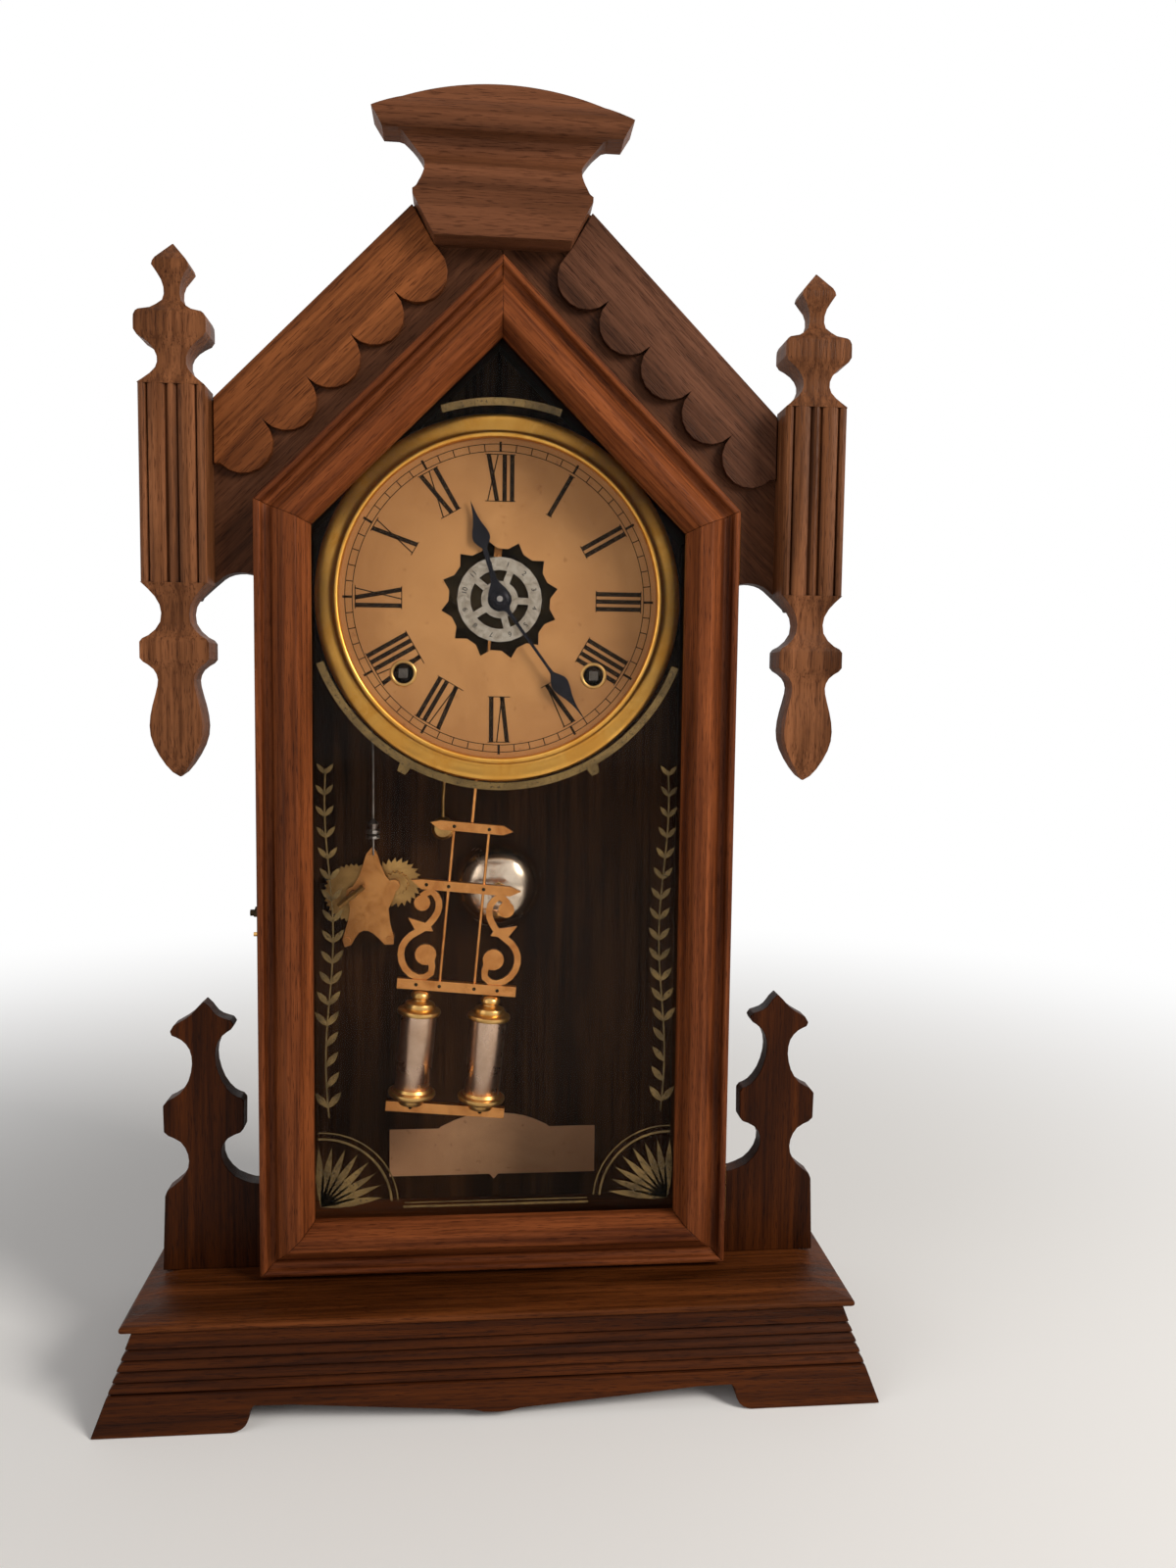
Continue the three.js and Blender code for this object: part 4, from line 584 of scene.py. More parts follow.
def smooth_crown(piece):
    select_only(piece)
    bpy.ops.object.mode_set(mode="EDIT")
    bpy.ops.mesh.select_mode(type="FACE")
    for x in CROWN_CUTS:
        mesh = bmesh.from_edit_mesh(piece.data)
        select_crown(mesh)
        bmesh.update_edit_mesh(piece.data)
        bpy.ops.mesh.bisect(plane_co=(x * MM, 0, 0), plane_no=(1, 0, 0))
    mesh = bmesh.from_edit_mesh(piece.data)
    select_crown(mesh)
    crown = {point for face in mesh.faces if face.select for point in face.verts}
    for point in crown:
        fall = CROWN_RADIUS - math.sqrt(CROWN_RADIUS**2 - (point.co.x / MM) ** 2)
        point.co.z = (CROWN_TOP - fall) * MM
    bmesh.update_edit_mesh(piece.data)
    bpy.ops.mesh.select_mode(type="VERT")
    bpy.ops.object.mode_set(mode="OBJECT")
    print("crown points", len(crown))


crest = dress("crest", walnut_for("crest", "level"), 0.35, smooth_crown)
print("crest", [round(v, 4) for v in crest.dimensions])

# %% [markdown]
# The case boards were varnished only where they show. Inside they stayed dark and dull, and outside
# they match the front. A painted mask could divide the two, but a board's faces already do, so those
# that look outwards take a second material.

# %% Varnish on the outside of the case
FACING_OUT = 0.7
OUTSIDE = [
    ("case_side_left", (-1, 0, 0), "upright"),
    ("case_side_right", (1, 0, 0), "upright"),
    ("case_roof_left", (-1, 0, 1), "rising"),
    ("case_roof_right", (1, 0, 1), "falling"),
]
for node, outwards, lean in OUTSIDE:
    board = bpy.data.objects[node + "_finished"]
    board.data.materials.append(walnut_for("case", lean))
    direction = Vector(outwards).normalized()
    varnished = [face for face in board.data.polygons if face.normal.dot(direction) > FACING_OUT]
    for face in varnished:
        face.material_index = 1
    print(node, len(varnished), "varnished faces")

# %% [markdown]
# Clock metals are never one even colour. The brass has browned where hands and damp have reached it
# and still shines where it has not, so one slow noise moves both its colour and its polish, with dark
# specks over it. Nickel keeps its shine but clouds over. Steel shows fine filing marks. The hands are
# blued nearly black, which one plain recipe with less metal in it gives better.

# %% Recipes for metal
SCRATCH_DEPTH = 0.0001


def tarnished_metal(name, bright, dull, polish, dullness, cells, scratches=0.02):
    """Polish and dullness are the roughness of the bright and of the dull places."""
    material, tree, shader = new_material(name)
    shader.inputs["Metallic"].default_value = 1.0
    place = object_place(tree)
    clouds = even_noise(tree, place, cells, 4, 0.6)
    specks = even_noise(tree, place, 2200, 2, 0.0)
    brushed = stretched_noise(tree, place, (300, 300, 3500), 1, 0.0)
    colour = colour_ramp(tree, clouds, [(0.32, dull), (0.62, bright)])
    speck_mask = value_range(tree, specks, 0.62, 0.74, 0.0, 0.55)
    speck_colour = tuple(c * 0.3 for c in dull)
    spotted = blend_colours(tree, "MIX", speck_mask, colour, speck_colour)
    tree.links.new(spotted, shader.inputs["Base Color"])
    rough = value_range(tree, clouds, 0.3, 0.65, dullness, polish)
    tree.links.new(rough, shader.inputs["Roughness"])
    add_bump(tree, brushed, scratches, SCRATCH_DEPTH, shader)
    return material


def blackened_metal(name, colour, roughness):
    material, tree, shader = new_material(name)
    shader.inputs["Metallic"].default_value = 0.4
    shader.inputs["Specular IOR Level"].default_value = 0.15
    clouds = even_noise(tree, object_place(tree), 260, 3, 0.3)
    lighter = tuple(c * 2 + 0.002 for c in colour)
    clouded = colour_ramp(tree, clouds, [(0.35, colour), (0.7, lighter)])
    tree.links.new(clouded, shader.inputs["Base Color"])
    rough = value_range(tree, clouds, 0.3, 0.7, roughness - 0.08, roughness + 0.1)
    tree.links.new(rough, shader.inputs["Roughness"])
    add_bump(tree, clouds, 0.08, SCRATCH_DEPTH, shader)
    return material


print("recipes for tarnished and for blackened metal")

# %% [markdown]
# Each kind of metal on the clock has its own colours. The bezel is lacquered and the brightest. The
# stamped pendulum and alarm work have gone coppery. What lies behind the dial is made of nearly black
# brass, painted shade for the dark there, which the latch hook and the rivets share, and the steel of
# the winding arbors is darkened as painted shade in the winding holes.

# %% Metals
bezel_brass = tarnished_metal("bezel_brass", (0.98, 0.52, 0.11), (0.78, 0.35, 0.05), 0.3, 0.45, 60)
stamped_brass = tarnished_metal("stamped_brass", (0.74, 0.33, 0.1), (0.5, 0.19, 0.05), 0.32, 0.48, 120)
plate_brass = tarnished_metal("plate_brass", (0.62, 0.36, 0.12), (0.36, 0.19, 0.06), 0.3, 0.45, 90)
# Painted shade: nearly black brass for the plate and wheels behind the dial, also used for the latch hook
# and rivets.
tarnish_and_shade_brass = tarnished_metal("tarnish_and_shade_brass", (0.05, 0.035, 0.018), (0.02, 0.014, 0.008), 0.45, 0.65, 90)
cap_brass = tarnished_metal("cap_brass", (0.82, 0.5, 0.17), (0.56, 0.31, 0.09), 0.28, 0.42, 120)
nickel = tarnished_metal("old_nickel", (0.82, 0.66, 0.5), (0.56, 0.42, 0.3), 0.16, 0.3, 80, 0.01)
vial_nickel = tarnished_metal("vial_nickel", (0.78, 0.55, 0.4), (0.6, 0.4, 0.27), 0.24, 0.36, 60)
disc_nickel = tarnished_metal("stamped_nickel", (0.5, 0.43, 0.34), (0.28, 0.23, 0.17), 0.3, 0.5, 300)
filed_steel = tarnished_metal("filed_steel", (0.46, 0.42, 0.38), (0.25, 0.22, 0.19), 0.28, 0.5, 150, 0.06)
# Painted shade: the winding arbors are nearly black so that the winding holes read dark.
winding_steel_shade = tarnished_metal("winding_steel_shade", (0.14, 0.12, 0.1), (0.05, 0.043, 0.036), 0.4, 0.6, 150)
spring_steel = blackened_metal("spring_steel", (0.05, 0.045, 0.05), 0.35)
blued_steel = blackened_metal("blued_steel", (0.008, 0.008, 0.011), 0.42)
print("the bezel and the hands are", bezel_brass.name, "and", blued_steel.name)

# %% [markdown]
# The sawn and stamped metal pieces keep their measured shape and get only a tenth of a millimetre of
# bevel, so that each edge catches a line of light. The wheels, springs and wires deep inside are
# hardly seen, so there the measured solids themselves are painted.

# %% Metal pieces
METAL_EDGE = 0.1
METAL = [
    ("hinge_upper_case_leaf", plate_brass, "brass"),
    ("hinge_upper_door_leaf", plate_brass, "brass"),
    ("hinge_lower_case_leaf", plate_brass, "brass"),
    ("hinge_lower_door_leaf", plate_brass, "brass"),
    ("latch_hook", tarnish_and_shade_brass, "brass"),
    ("latch_pin", plate_brass, "brass"),
    ("hour_hand", blued_steel, "blued"),
    ("minute_hand", blued_steel, "blued"),
    ("alarm_disc", disc_nickel, "nickel"),
    # The front plate behind the dial is nearly black as painted shade.
    ("movement_front_plate", tarnish_and_shade_brass, "brass"),
    ("movement_back_plate", plate_brass, "brass"),
    ("pendulum_leader", stamped_brass, "brass"),
    ("pendulum_yoke", stamped_brass, "brass"),
    ("pendulum_scroll_frame", stamped_brass, "brass"),
    ("pendulum_bottom_bar", stamped_brass, "brass"),
    ("bell_post", plate_brass, "brass"),
    ("alarm_plate", stamped_brass, "brass"),
    ("alarm_winding_wheel", plate_brass, "brass"),
    ("alarm_strike_wheel", plate_brass, "brass"),
    ("strike_hammer", plate_brass, "brass"),
]
INNER_METAL = [
    ("centre_arbor", filed_steel),
    # The hour and minute wheels are nearly black as painted shade behind the dial.
    ("hour_wheel", tarnish_and_shade_brass),
    ("minute_wheel", tarnish_and_shade_brass),
    ("time_mainspring", spring_steel),
    ("strike_mainspring", spring_steel),
    # The great wheels' winding arbors are nearly black as painted shade in the winding holes.
    ("time_great_wheel", winding_steel_shade),
    ("strike_great_wheel", winding_steel_shade),
    ("escape_wheel", plate_brass),
    ("verge", filed_steel),
    ("alarm_trip_wire", filed_steel),
]


def paint(node, material):
    """The measured solid itself takes the material."""
    solid = frame["nodes"][node]
    solid.data.materials.clear()
    solid.data.materials.append(material)


for node, material, slot in METAL:
    dress(node, material, METAL_EDGE)
for node, material in INNER_METAL:
    paint(node, material)
print(len(METAL), "metal pieces and", len(INNER_METAL), "inner ones")

# %% [markdown]
# Bezel, bell, vials and cups were turned or spun on a lathe, and a measured solid shows them with
# flat facets. Here each is made again as the metal spinner made it: its profile is drawn as a chain
# of points in a plane that holds the axis, and the spin operator carries it round. The ring closes on
# itself, so its seam is merged and its faces are turned outwards again.

# %% Spinning a profile
SEAM_MERGE = 0.000004


def spin_profile(name, profile, centre, axis, steps):
    """profile: (radius, height) pairs in mm; axis "Y" runs front to back, "Z" upright."""
    clear_selection()
    bpy.ops.mesh.primitive_plane_add(size=0.01, location=(0, 0, 0))
    piece = bpy.context.object
    piece.name = name
    middle = Vector(centre) * MM

    def placed(radius, height):
        if axis == "Y":
            return Vector((middle.x + radius * MM, height * MM, middle.z))
        return Vector((middle.x + radius * MM, middle.y, height * MM))

    bpy.ops.object.mode_set(mode="EDIT")
    bpy.ops.mesh.merge(type="CENTER")
    sheet = bmesh.from_edit_mesh(piece.data)
    sheet.verts.ensure_lookup_table()
    sheet.verts[0].co = placed(*profile[0])
    bmesh.update_edit_mesh(piece.data)
    for before, after in zip(profile, profile[1:]):
        step = placed(*after) - placed(*before)
        bpy.ops.mesh.extrude_region_move(TRANSFORM_OT_translate={"value": step})
    bpy.ops.mesh.select_all(action="SELECT")
    turn_axis = (0, 1, 0) if axis == "Y" else (0, 0, 1)
    bpy.ops.mesh.spin(steps=steps, angle=math.tau, center=middle, axis=turn_axis)
    bpy.ops.mesh.select_all(action="SELECT")
    bpy.ops.mesh.remove_doubles(threshold=SEAM_MERGE)
    bpy.ops.mesh.normals_make_consistent(inside=False)
    bpy.ops.object.mode_set(mode="OBJECT")
    return piece


def rounded(points):
    """Cuts each corner of an open chain, twice over, as a file eases an edge."""
    for _ in range(2):
        eased = [points[0]]
        for (ax, ay), (bx, by) in zip(points, points[1:]):
            eased.append((ax * 0.8 + bx * 0.2, ay * 0.8 + by * 0.2))
            eased.append((ax * 0.2 + bx * 0.8, ay * 0.2 + by * 0.8))
        points = [*eased, points[-1]]
    return points


print("spun seams are merged within", SEAM_MERGE / MM, "mm")

# %% [markdown]
# A new piece is given its material and the moving part that carries it, and the solids that it
# stands for, if any, are hidden. The places that it is built on are read from the measured solids, so
# that it follows them if they are changed.

# %% Finishing a new piece
SPUN_SMOOTH_ANGLE = 40


def middle_of(node):
    """The middle of a measured solid, in mm."""
    low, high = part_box(node)
    return [round(c / MM, 3) for c in (low + high) / 2]


def front_of(node):
    """How far a measured solid reaches to the front, in mm."""
    return round(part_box(node)[0].y / MM, 3)


def finish_piece(piece, material, slot, body, *nodes):
    """Gives a new piece its material and its moving part, and hides the solids it stands for."""
    smooth(piece, SPUN_SMOOTH_ANGLE)
    piece.data.materials.clear()
    piece.data.materials.append(material)
    if nodes:
        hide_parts(*nodes)
    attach(piece, body)


print("the dial's middle is at", middle_of("dial"), "and its front at", front_of("dial"))

# %% [markdown]
# The bezel is a hollow ring with a rolled front lip and a sloping inner face, and the bell is a thin
# cup. Both walls are drawn right round as closed profiles, so the metal has its thickness.

# %% Bezel and bell
DIAL_CENTRE = middle_of("bezel")
BELL_CENTRE = middle_of("bell")

bezel_profile = rounded(
    [(75.4, 4.95), (66, 4.95), (65.9, 3.4), (66.6, 2.3), (68, 2.4), (69, 3.6), (75, 3.8),
     (76.2, 5.4), (76.2, 10), (75.4, 10), (75.4, 4.95)]
)
bezel = spin_profile("bezel_spun", bezel_profile, DIAL_CENTRE, "Y", 128)
finish_piece(bezel, bezel_brass, "brass", "case", "bezel")

bell_profile = rounded(
    [(2.4, 36.8), (6, 37), (10, 37.8), (13.6, 39.3), (16.4, 41.4), (18.3, 43.8), (19.6, 46.6),
     (20.4, 51), (19.2, 51), (18.4, 46.9), (17.2, 44.4), (15.5, 42.4), (12.8, 40.3), (9.6, 39),
     (5.5, 38.2), (2.4, 38), (2.4, 36.8)]
)
bell = spin_profile("bell_spun", bell_profile, BELL_CENTRE, "Y", 96)
finish_piece(bell, nickel, "nickel", "case", "bell")
print("bezel", [round(v, 4) for v in bezel.dimensions], "bell", [round(v, 4) for v in bell.dimensions])

# %% [markdown]
# The bob copies a gridiron of two mercury jars: bright nickel tubes with brass cups and caps. Plain
# cylinders would miss the beads and coves that catch the light, so each is spun. They hang from the
# pendulum, which was caught a little left of the middle, so each is spun upright and then tilted
# about the suspension point. Heights in the profiles are drops below that point.

# %% Vials and cups of the pendulum
swing_joint = next(joint for joint in frame["joints"] if joint["name"] == "pendulum_swing")
PIVOT = Vector(swing_joint["pos_m"])
BOB_Y, HANG = [round(c / MM, 3) for c in swing_joint["pos_m"][1:]]
SWING = 5.1
VIAL_X = 15.1


def hung(profile):
    return [(radius, HANG - drop) for radius, drop in profile]


def tilt(piece):
    """Swings a finished piece to where the pendulum was caught, in its mesh."""
    select_only(piece)
    bpy.ops.object.mode_set(mode="EDIT")
    turn = Matrix.Rotation(math.radians(SWING), 4, "Y")
    about = Matrix.Translation(PIVOT)
    mesh = bmesh.from_edit_mesh(piece.data)
    bmesh.ops.transform(mesh, matrix=about @ turn @ about.inverted(), verts=mesh.verts)
    bmesh.update_edit_mesh(piece.data)
    bpy.ops.object.mode_set(mode="OBJECT")


tube = hung([(0, 240.3), (7.4, 240.3), (7.6, 240), (7.6, 207), (0, 207)])
cap = hung([
    (0, 207), (9.0, 207), (9.4, 206.2), (9.2, 205.2), (8.2, 204.7), (6.5, 204.4), (6.7, 203.4),
    (6.2, 202.2), (4.6, 201.6), (3.4, 201.1), (3.4, 200.4), (4.2, 199.5), (4.2, 198.4),
    (3.4, 197.2), (1.8, 196.7), (0, 196.6),
])
cup = hung([
    (0, 247), (5.2, 247), (5.5, 246.2), (5.7, 245), (8, 244.1), (10, 243.1), (10.35, 242.2),
    (10.2, 241.4), (9.3, 240.9), (8.2, 240.9), (7.6, 239.6), (0, 239.6),
])
for side, x in [("left", -VIAL_X), ("right", VIAL_X)]:
    bob_parts = [
        ("tube", tube, vial_nickel, "nickel", [f"vial_{side}"]),
        ("cap", cap, cap_brass, "brass", []),
        ("cup", cup, cap_brass, "brass", []),
    ]
    for part, profile, metal, slot, stands_for in bob_parts:
        spun = spin_profile(f"vial_{side}_{part}", profile, (x, BOB_Y, 0), "Z", 64)
        tilt(spun)
        finish_piece(spun, metal, slot, "pendulum", *stands_for)

# %% [markdown]
# Small rivets hold the rods and vials in the three bars. They have darkened more than the bars, so
# they read as a row of dots. Each is a low dome, spun like the cups and tilted with the pendulum.

# %% Rivets in the pendulum bars
BAR_FRONT = front_of("pendulum_yoke")
RIVET_HEAD = [
    (0, BAR_FRONT + 0.02), (0.72, BAR_FRONT + 0.02), (0.78, BAR_FRONT - 0.12),
    (0.55, BAR_FRONT - 0.3), (0.25, BAR_FRONT - 0.38), (0, BAR_FRONT - 0.4),
]
RIVETS = [
    (-7.5, 124.4), (7.5, 124.4), (-17, 150.5), (-7.5, 150.5), (7.5, 150.5),
    (-17.5, 194.2), (-7.5, 194.2), (7.5, 194.2), (17.5, 194.2), (-15.1, 248.4), (15.1, 248.4),
]
for number, (x, drop) in enumerate(RIVETS, start=1):
    rivet = spin_profile(f"pendulum_rivet_{number}", RIVET_HEAD, (x, 0, HANG - drop), "Y", 16)
    tilt(rivet)
    finish_piece(rivet, tarnish_and_shade_brass, "brass", "pendulum")
print(len(RIVETS), "rivets")

# %% [markdown]
# The dial is printed paper on a zinc plate. The paper has yellowed unevenly, more towards the edge,
# and it carries small stains. So the distance from its middle and a slow noise are added up, and a
# ramp turns the sum from pale to brown. The measured dial and label keep their own shape.

# %% Aged papers
FIBRE_DEPTH = 0.00008


def aged_paper(name, pale, brown, centre, radius, mottling):
    """The paper browns from the centre to the radius, both in mm."""
    material, tree, shader = new_material(name)
    place = object_place(tree)
    from_centre = tree.nodes.new("ShaderNodeMapping")
    from_centre.inputs["Location"].default_value = [-c / radius for c in centre]
    from_centre.inputs["Scale"].default_value = (1 / (radius * MM),) * 3
    tree.links.new(place, from_centre.inputs["Vector"])
    outwards = vector_length(tree, from_centre.outputs["Vector"])
    clouds = even_noise(tree, place, 28, 5, 0.8)
    fibres = even_noise(tree, place, 900, 3, 0.0)
    spots = even_noise(tree, place, 330, 2, 0.0)
    spread = tree.nodes.new("ShaderNodeMath")
    spread.operation = "MULTIPLY_ADD"
    spread.inputs[1].default_value = 0.55
    tree.links.new(outwards, spread.inputs[0])
    tree.links.new(clouds, spread.inputs[2])
    colour = colour_ramp(tree, spread.outputs["Value"], [(0.5, pale), (1.15, brown)])
    stains = value_range(tree, spots, 0.66, 0.76, 0.0, mottling)
    stained = blend_colours(tree, "MULTIPLY", stains, colour, (0.62, 0.5, 0.38))
    shade = value_range(tree, fibres, 0.3, 0.7, 0.0, 0.18)
    fibrous = blend_colours(tree, "MULTIPLY", shade, stained, (0.8, 0.77, 0.72))
    tree.links.new(fibrous, shader.inputs["Base Color"])
    shader.inputs["Roughness"].default_value = 0.62
    add_bump(tree, fibres, 0.12, FIBRE_DEPTH, shader)
    return material


DIAL_PALEST = (DIAL_CENTRE[0], front_of("dial"), DIAL_CENTRE[2])
LABEL_PALEST = (0, 54, 62)
dial_paper = aged_paper("dial_paper", (0.6, 0.295, 0.096), (0.42, 0.185, 0.052), DIAL_PALEST, 72, 0.6)
label_paper = aged_paper("label_paper", (0.86, 0.48, 0.25), (0.64, 0.33, 0.165), LABEL_PALEST, 60, 0.9)
paint("dial", dial_paper)
paint("label", label_paper)
print("papers", dial_paper.name, label_paper.name)

# %% [markdown]
# Ink could be a picture laid on the dial, but a drawn shape stays crisp however close one looks. It
# is a thin flat shape a hair in front of the paper, walked round as a chain of points: one vertex is
# extruded from corner to corner, and the ring is filled. All shapes of one print share one mesh, which
# gets its thickness when the drawing ends.

# %% Drawing flat shapes
def start_print(name):
    clear_selection()
    bpy.ops.mesh.primitive_plane_add(size=0.01)
    sheet = bpy.context.object
    sheet.name = name
    bpy.ops.object.mode_set(mode="EDIT")
    bpy.ops.mesh.select_all(action="SELECT")
    bpy.ops.mesh.delete(type="VERT")
    return sheet


def draw_shape(corners, y):
    """Fills one outline, given as (x, z) in mm, in the plane at depth y."""
    ring = [Vector((x * MM, y * MM, z * MM)) for x, z in corners]
    bpy.ops.mesh.select_all(action="DESELECT")
    bpy.ops.mesh.primitive_plane_add(size=0.001, location=ring[0])
    bpy.ops.mesh.merge(type="CENTER")
    for before, after in zip(ring, ring[1:]):
        bpy.ops.mesh.extrude_region_move(TRANSFORM_OT_translate={"value": after - before})
    bpy.ops.mesh.select_linked()
    bpy.ops.mesh.edge_face_add()


def end_print(thickness):
    bpy.ops.mesh.select_all(action="SELECT")
    bpy.ops.mesh.extrude_region_move(TRANSFORM_OT_translate={"value": (0, -thickness * MM, 0)})
    bpy.ops.mesh.select_all(action="SELECT")
    bpy.ops.mesh.quads_convert_to_tris(ngon_method="BEAUTY")
    bpy.ops.mesh.normals_make_consistent(inside=False)
    bpy.ops.object.mode_set(mode="OBJECT")


def box(half_width, low, high):
    return [(-half_width, low), (half_width, low), (half_width, high), (-half_width, high)]


print("prints are drawn in one mesh each")

# %% [markdown]
# Printer's ink is nearly black but has browned, and it is worn thin in places. A fine noise lifts it
# there, and it hardly shines.

# %% Ink
ink, tree, ink_shader = new_material("dial_ink")
ink_wear = even_noise(tree, object_place(tree), 700, 3, 0.0)
ink_colour = colour_ramp(tree, ink_wear, [(0.5, (0.014, 0.008, 0.004)), (0.8, (0.07, 0.038, 0.016))])
tree.links.new(ink_colour, ink_shader.inputs["Base Color"])
ink_shader.inputs["Roughness"].default_value = 0.7
ink_shader.inputs["Specular IOR Level"].default_value = 0.1
print("ink", ink.name)

# %% [markdown]
# The chapter ring has tall Roman numerals that stand on the centre, four written as IIII, each made
# of thick and thin strokes between two hairline serifs. A font's letters would be far too low for
# such a dial, so each letter is described by its own strokes: where a stroke's foot stands, where its
# head leans to, and how thick it is. Widths and places are in millimetres.

# %% Letters of the dial
THICK = 1.85
THIN = 0.5
# Letter: its width, and strokes as (foot x, head x, width) from its left edge.
LETTERS = {
    "I": (3.1, [(1.55, 1.55, THICK)]),
    "V": (6.4, [(3.5, 1.25, THICK), (3.6, 5.6, THIN)]),
    "X": (6.6, [(5.1, 1.5, THICK), (1.2, 5.4, THIN)]),
}
HOURS = ["XII", "I", "II", "III", "IIII", "V", "VI", "VII", "VIII", "IX", "X", "XI"]


def width_of(numeral):
    return sum(LETTERS[letter][0] for letter in numeral)


print("the widest numeral is", round(max(width_of(numeral) for numeral in HOURS), 1), "mm")

# %% [markdown]
# A numeral is laid out upright first, with its strokes between the inner and the outer line and a
# serif along each. Then every corner is turned about the dial's middle to its hour, so that the
# numeral leans with its spoke.

# %% Numerals
SERIF = 0.36
SERIF_INSET = 0.1
NUMERAL_FOOT = 40.4
NUMERAL_HEAD = 59.4
INK_BACK = front_of("dial") - 0.01
INK_THICKNESS = 0.03


def on_dial(x, radius, clockwise):
    """The place of a point beside the spoke at this angle in degrees."""
    turn = math.radians(clockwise)
    return (
        x * math.cos(turn) + radius * math.sin(turn),
        DIAL_CENTRE[2] - x * math.sin(turn) + radius * math.cos(turn),
    )


def draw_at(corners, clockwise, y):
    draw_shape([on_dial(x, radius, clockwise) for x, radius in corners], y)


dial_print = start_print("dial_print")
strokes = 0
for hour, numeral in enumerate(HOURS):
    width = width_of(numeral)
    left = -width / 2
    for letter in numeral:
        letter_width, lines = LETTERS[letter]
        for foot, head, thick in lines:
            stroke = [
                (left + foot - thick / 2, NUMERAL_FOOT), (left + foot + thick / 2, NUMERAL_FOOT),
                (left + head + thick / 2, NUMERAL_HEAD), (left + head - thick / 2, NUMERAL_HEAD),
            ]
            draw_at(stroke, hour * 30, INK_BACK)
            strokes += 1
        left += letter_width
    for end in (NUMERAL_FOOT, NUMERAL_HEAD):
        serif = box(width / 2 - SERIF_INSET, end - SERIF / 2, end + SERIF / 2)
        draw_at(serif, hour * 30, INK_BACK)
print(strokes, "numeral strokes")

# %% [markdown]
# The minute track is a ladder of sixty ticks with a heavier one at each hour. The ticks belong to the
# same print as the numerals, so they are drawn in the same mesh, and the print ends with them.

# %% Minute ticks
TRACK_INNER = 60.6
TRACK_OUTER = 63.6
MINUTE_TICK = box(0.2, TRACK_INNER, TRACK_OUTER)
HOUR_TICK = box(0.5, TRACK_INNER - 0.2, TRACK_OUTER + 1.0)

for minute in range(60):
    draw_at(MINUTE_TICK if minute % 5 else HOUR_TICK, minute * 6, INK_BACK)
end_print(INK_THICKNESS)
finish_piece(dial_print, ink, "paper", "case")
print("dial print", len(dial_print.data.polygons), "faces")

# %% [markdown]
# Two circles close the minute track. Drawn corner by corner they would be the longest shapes of all.
# But a circle is a ring with a tiny square section, so it is spun like the bezel.

# %% Circles of the minute track
LINE_HALF_WIDTH = 0.16
for name, radius in [("track_inner_line", TRACK_INNER), ("track_outer_line", TRACK_OUTER)]:
    inner, outer = radius - LINE_HALF_WIDTH, radius + LINE_HALF_WIDTH
    ink_front = INK_BACK - INK_THICKNESS
    section = [
        (inner, INK_BACK), (outer, INK_BACK), (outer, ink_front), (inner, ink_front), (inner, INK_BACK),
    ]
    circle = spin_profile(name, section, DIAL_CENTRE, "Y", 160)
    finish_piece(circle, ink, "paper", "case")
    print(name, "radius", radius, "mm")

# %% [markdown]
# Each winding hole has a pressed brass eyelet that keeps the key from tearing the paper. Its section
# is a hook: a short collar in the hole, and a rolled rim that lies on the dial. It sits square to the
# winding arbor, so it is spun about the middle of the wheel on that arbor.

# %% Eyelets of the winding holes
EYELET_SECTION = [
    (4.1, 5.7), (4.1, 4.95), (4.35, 4.62), (4.8, 4.5), (5.3, 4.62), (5.6, 4.97), (4.65, 5.0),
    (4.55, 5.7), (4.1, 5.7),
]
for side, arbor in [("left", "strike_great_wheel"), ("right", "time_great_wheel")]:
    eyelet = spin_profile(f"winding_eyelet_{side}", EYELET_SECTION, middle_of(arbor), "Y", 48)
    finish_piece(eyelet, plate_brass, "brass", "case")
    print(eyelet.name, [round(v, 4) for v in eyelet.dimensions])

# %% [markdown]
# The alarm disc is a small stamped ring with hours round it, one to twelve. At this size strokes drawn
# by hand would be wasted, so plain type is set round the ring, made a mesh and joined. The disc was
# left turned a little back from twelve, and the figures follow it.

# %% Figures on the alarm disc
FIGURE_RADIUS = 14.8
FIGURE_SIZE = 3.0
FIGURE_RELIEF = 0.06
FIGURE_PLACE = front_of("alarm_disc") - 0.02
DISC_TURN = -17
disc_figures = []
for number in range(1, 13):
    clear_selection()
    bpy.ops.object.text_add()
    figure = bpy.context.object
    figure.data.body = str(number)
    figure.data.size = FIGURE_SIZE * MM
    figure.data.align_x = "CENTER"
    figure.data.align_y = "CENTER"
    figure.data.extrude = FIGURE_RELIEF * MM
    clockwise = DISC_TURN + 30 * number
    x, z = on_dial(0, FIGURE_RADIUS, clockwise)
    stand = Matrix.Rotation(math.radians(90), 4, "X")
    spread = Matrix.Rotation(math.radians(clockwise), 4, "Y")
    figure.matrix_world = Matrix.Translation(Vector((x, FIGURE_PLACE, z)) * MM) @ spread @ stand
    bpy.ops.object.convert(target="MESH")
    bpy.ops.object.transform_apply(location=True, rotation=True, scale=True)
    disc_figures.append(bpy.context.object)
clear_selection()
for figure in disc_figures:
    figure.select_set(True)
bpy.context.view_layer.objects.active = disc_figures[0]
bpy.ops.object.join()
figures = bpy.context.object
figures.name = "alarm_disc_figures"
finish_piece(figures, blued_steel, "nickel", "alarm_disc")
print("figures", [round(v, 4) for v in figures.dimensions])

# %% [markdown]
# The pane is old thin glass. Light crosses it nearly straight, so it needs no refraction: a mostly
# clear surface, with a faint smoky body that dims what lies behind and carries the gloss, looks the
# same and leaves the dial well lit.

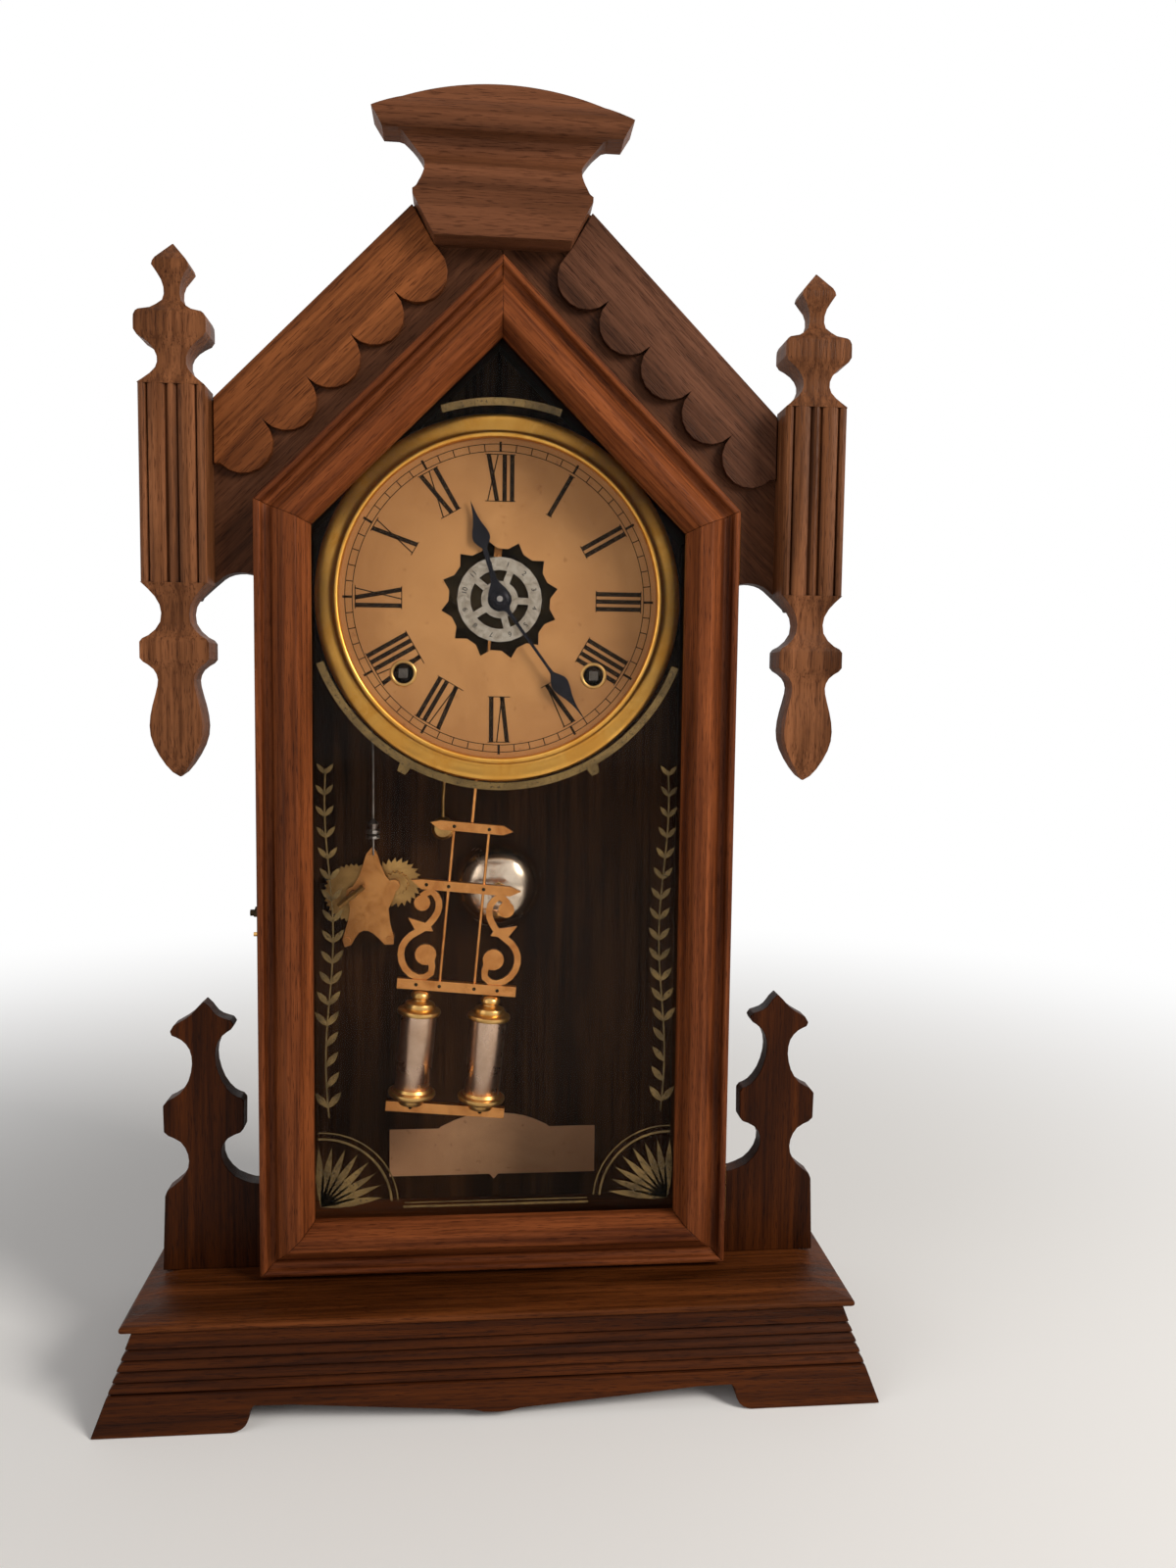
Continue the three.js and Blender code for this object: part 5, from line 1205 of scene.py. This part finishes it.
# %% Door glass
glass, tree, glass_shader = new_material("old_glass")
glass_shader.inputs["Roughness"].default_value = 0.03
glass_shader.inputs["IOR"].default_value = 1.5
glass_shader.inputs["Alpha"].default_value = 0.07
glass_shader.inputs["Specular IOR Level"].default_value = 0.4
dust = stretched_noise(tree, object_place(tree), (9, 9, 4), 2, 0.3)
dusty = colour_ramp(tree, dust, [(0.4, (0.01, 0.007, 0.005)), (0.75, (0.025, 0.017, 0.011))])
tree.links.new(dusty, glass_shader.inputs["Base Color"])
paint("door_glass", glass)
print("glass", glass.name)

# %% [markdown]
# The pane is decorated in gold on its back. Gold leaf on glass is thin and rubbed, so it is only half
# as metallic as a solid piece, and it shows dark breaks where it has flaked away.

# %% Gold leaf
gold_leaf, tree, leaf_shader = new_material("rubbed_gold_leaf")
leaf_shader.inputs["Metallic"].default_value = 0.55
leaf_shader.inputs["Roughness"].default_value = 0.42
place = object_place(tree)
rubbing = even_noise(tree, place, 90, 4, 0.5)
flecks = even_noise(tree, place, 900, 3, 0.0)
leaf_colour = colour_ramp(tree, rubbing, [(0.34, (0.1, 0.062, 0.02)), (0.66, (0.27, 0.17, 0.055))])
fleck_mask = value_range(tree, flecks, 0.56, 0.68, 0.0, 0.75)
worn_leaf = blend_colours(tree, "MIX", fleck_mask, leaf_colour, (0.03, 0.02, 0.01))
tree.links.new(worn_leaf, leaf_shader.inputs["Base Color"])
print("gold leaf", gold_leaf.name)

# %% [markdown]
# A plain ring frames the dial. It is wider than the pane, so it is walked round in steps of three
# degrees, and only the stretches that lie on the glass are drawn. Two small tabs hang below it.

# %% Ring round the dial
GLASS_THICKNESS = 2.0
LEAF_BACK = front_of("door_glass") + GLASS_THICKNESS + 0.14
LEAF_THICKNESS = 0.05
RING_INNER = 75.2
RING_OUTER = 78.2
TAB = [(-2.4, RING_OUTER - 0.2), (2.4, RING_OUTER - 0.2), (1.8, RING_OUTER + 3.4), (-1.8, RING_OUTER + 3.4)]
TAB_ANGLE = 29
PANE_HALF_WIDTH = 74.1
PANE_APEX = 417.4
PANE_FLOOR = 62.6


def inside_pane(x, z):
    return abs(x) < PANE_HALF_WIDTH and z < PANE_APEX - abs(x)


def draw_stretch(angles):
    """A stretch of the ring, unless it is too short to see."""
    if len(angles) > 2:
        outer = [on_dial(0, RING_OUTER, angle) for angle in angles]
        inner = [on_dial(0, RING_INNER, angle) for angle in reversed(angles)]
        draw_shape([*outer, *inner], LEAF_BACK)


gilding = start_print("glass_gilding")
stretch = []
for angle in range(-180, 181, 3):
    if inside_pane(*on_dial(0, RING_OUTER, angle)):
        stretch.append(angle)
    else:
        draw_stretch(stretch)
        stretch = []
draw_stretch(stretch)
for side in (-1, 1):
    draw_at(TAB, 180 - side * TAB_ANGLE, LEAF_BACK)
print("ring and tabs drawn")

# %% [markdown]
# A laurel climbs each side of the pane. Copies of one leaf mesh could be set along it, but the leaves
# shrink towards the top, so each pointed oval is worked out at its own size, along a stem that sways
# a little. The other side is the same stem reflected. A leaf that would run under the frame is left
# off.

# %% Laurels
LEAF_OVAL = [
    (0, 0), (0.22, 0.36), (0.5, 0.5), (0.78, 0.3), (1, 0), (0.78, -0.3), (0.5, -0.5), (0.22, -0.36),
]
LEAF_PAIRS = 17
LEAF_LENGTH = 8.6
STEM_FOOT = 104
STEM_TIP = 248
STEM_X = 68.4
STEM_SWAY = 1.6
STEM_WAVE = 17
STEM_HALF_WIDTH = 0.3


def draw_leaf(root, length, width, direction):
    along = Vector((math.cos(direction), math.sin(direction)))
    across = Vector((-along.y, along.x))
    leaf = [Vector(root) + along * (a * length) + across * (c * width) for a, c in LEAF_OVAL]
    if max(abs(point.x) for point in leaf) < PANE_HALF_WIDTH + 0.6:
        draw_shape([tuple(point) for point in leaf], LEAF_BACK)


def stem_x(z):
    return STEM_X + STEM_SWAY * math.sin((z - 100) / STEM_WAVE)


def stem_piece(low, high):
    """The corners of one short stretch of stem between two points."""
    (ax, az), (bx, bz) = low, high
    half = STEM_HALF_WIDTH
    return [(ax - half, az), (ax + half, az), (bx + half, bz), (bx - half, bz)]


for side in (-1, 1):
    stem = [(side * stem_x(z), z) for z in range(STEM_FOOT, STEM_TIP + 4, 4)]
    for low, high in zip(stem, stem[1:]):
        draw_shape(stem_piece(low, high), LEAF_BACK)
    for pair in range(LEAF_PAIRS):
        z = STEM_FOOT + 4 + pair * LEAF_LENGTH
        reach = LEAF_LENGTH - 0.2 * pair
        for lean in (50, 128):
            direction = math.radians(lean if side > 0 else 180 - lean)
            draw_leaf((side * stem_x(z), z), reach, reach * 0.34, direction)
print("two laurels drawn")

# %% [markdown]
# A rayed fan fills each lower corner. Its rays are the same pointed oval, spread round the corner,
# with two bows round them, and a double line joins the fans along the bottom.

# %% Fans and bottom lines
FAN_X = 72.2
FAN_Z = PANE_FLOOR + 3.4
FAN_RAYS = 8
FAN_BOWS = [(29.4, 0.9), (31.8, 0.5)]
BOTTOM_LINES = [(64.8, 65.8, 38.6), (66.8, 67.2, 38.0)]


def towards_middle(side, degrees):
    angle = math.radians(degrees)
    return angle if side < 0 else math.pi - angle


for side in (-1, 1):
    corner_x = side * FAN_X
    for ray_number in range(FAN_RAYS):
        length = 27 - 0.5 * abs(ray_number - 3.5)
        draw_leaf((corner_x, FAN_Z), length, 3.4, towards_middle(side, 8 + ray_number * 12))
    for radius, width in FAN_BOWS:
        angles = [towards_middle(side, 4 + 8 * step) for step in range(12)]
        outer, inner = [
            [(corner_x + r * math.cos(a), FAN_Z + r * math.sin(a)) for a in angles]
            for r in (radius, radius - width)
        ]
        draw_shape([*outer, *reversed(inner)], LEAF_BACK)
for low, high, reach in BOTTOM_LINES:
    draw_shape(box(reach, low, high), LEAF_BACK)
end_print(LEAF_THICKNESS)
finish_piece(gilding, gold_leaf, "brass", "door")
print("gilding", len(gilding.data.polygons), "faces", [round(v, 4) for v in gilding.dimensions])
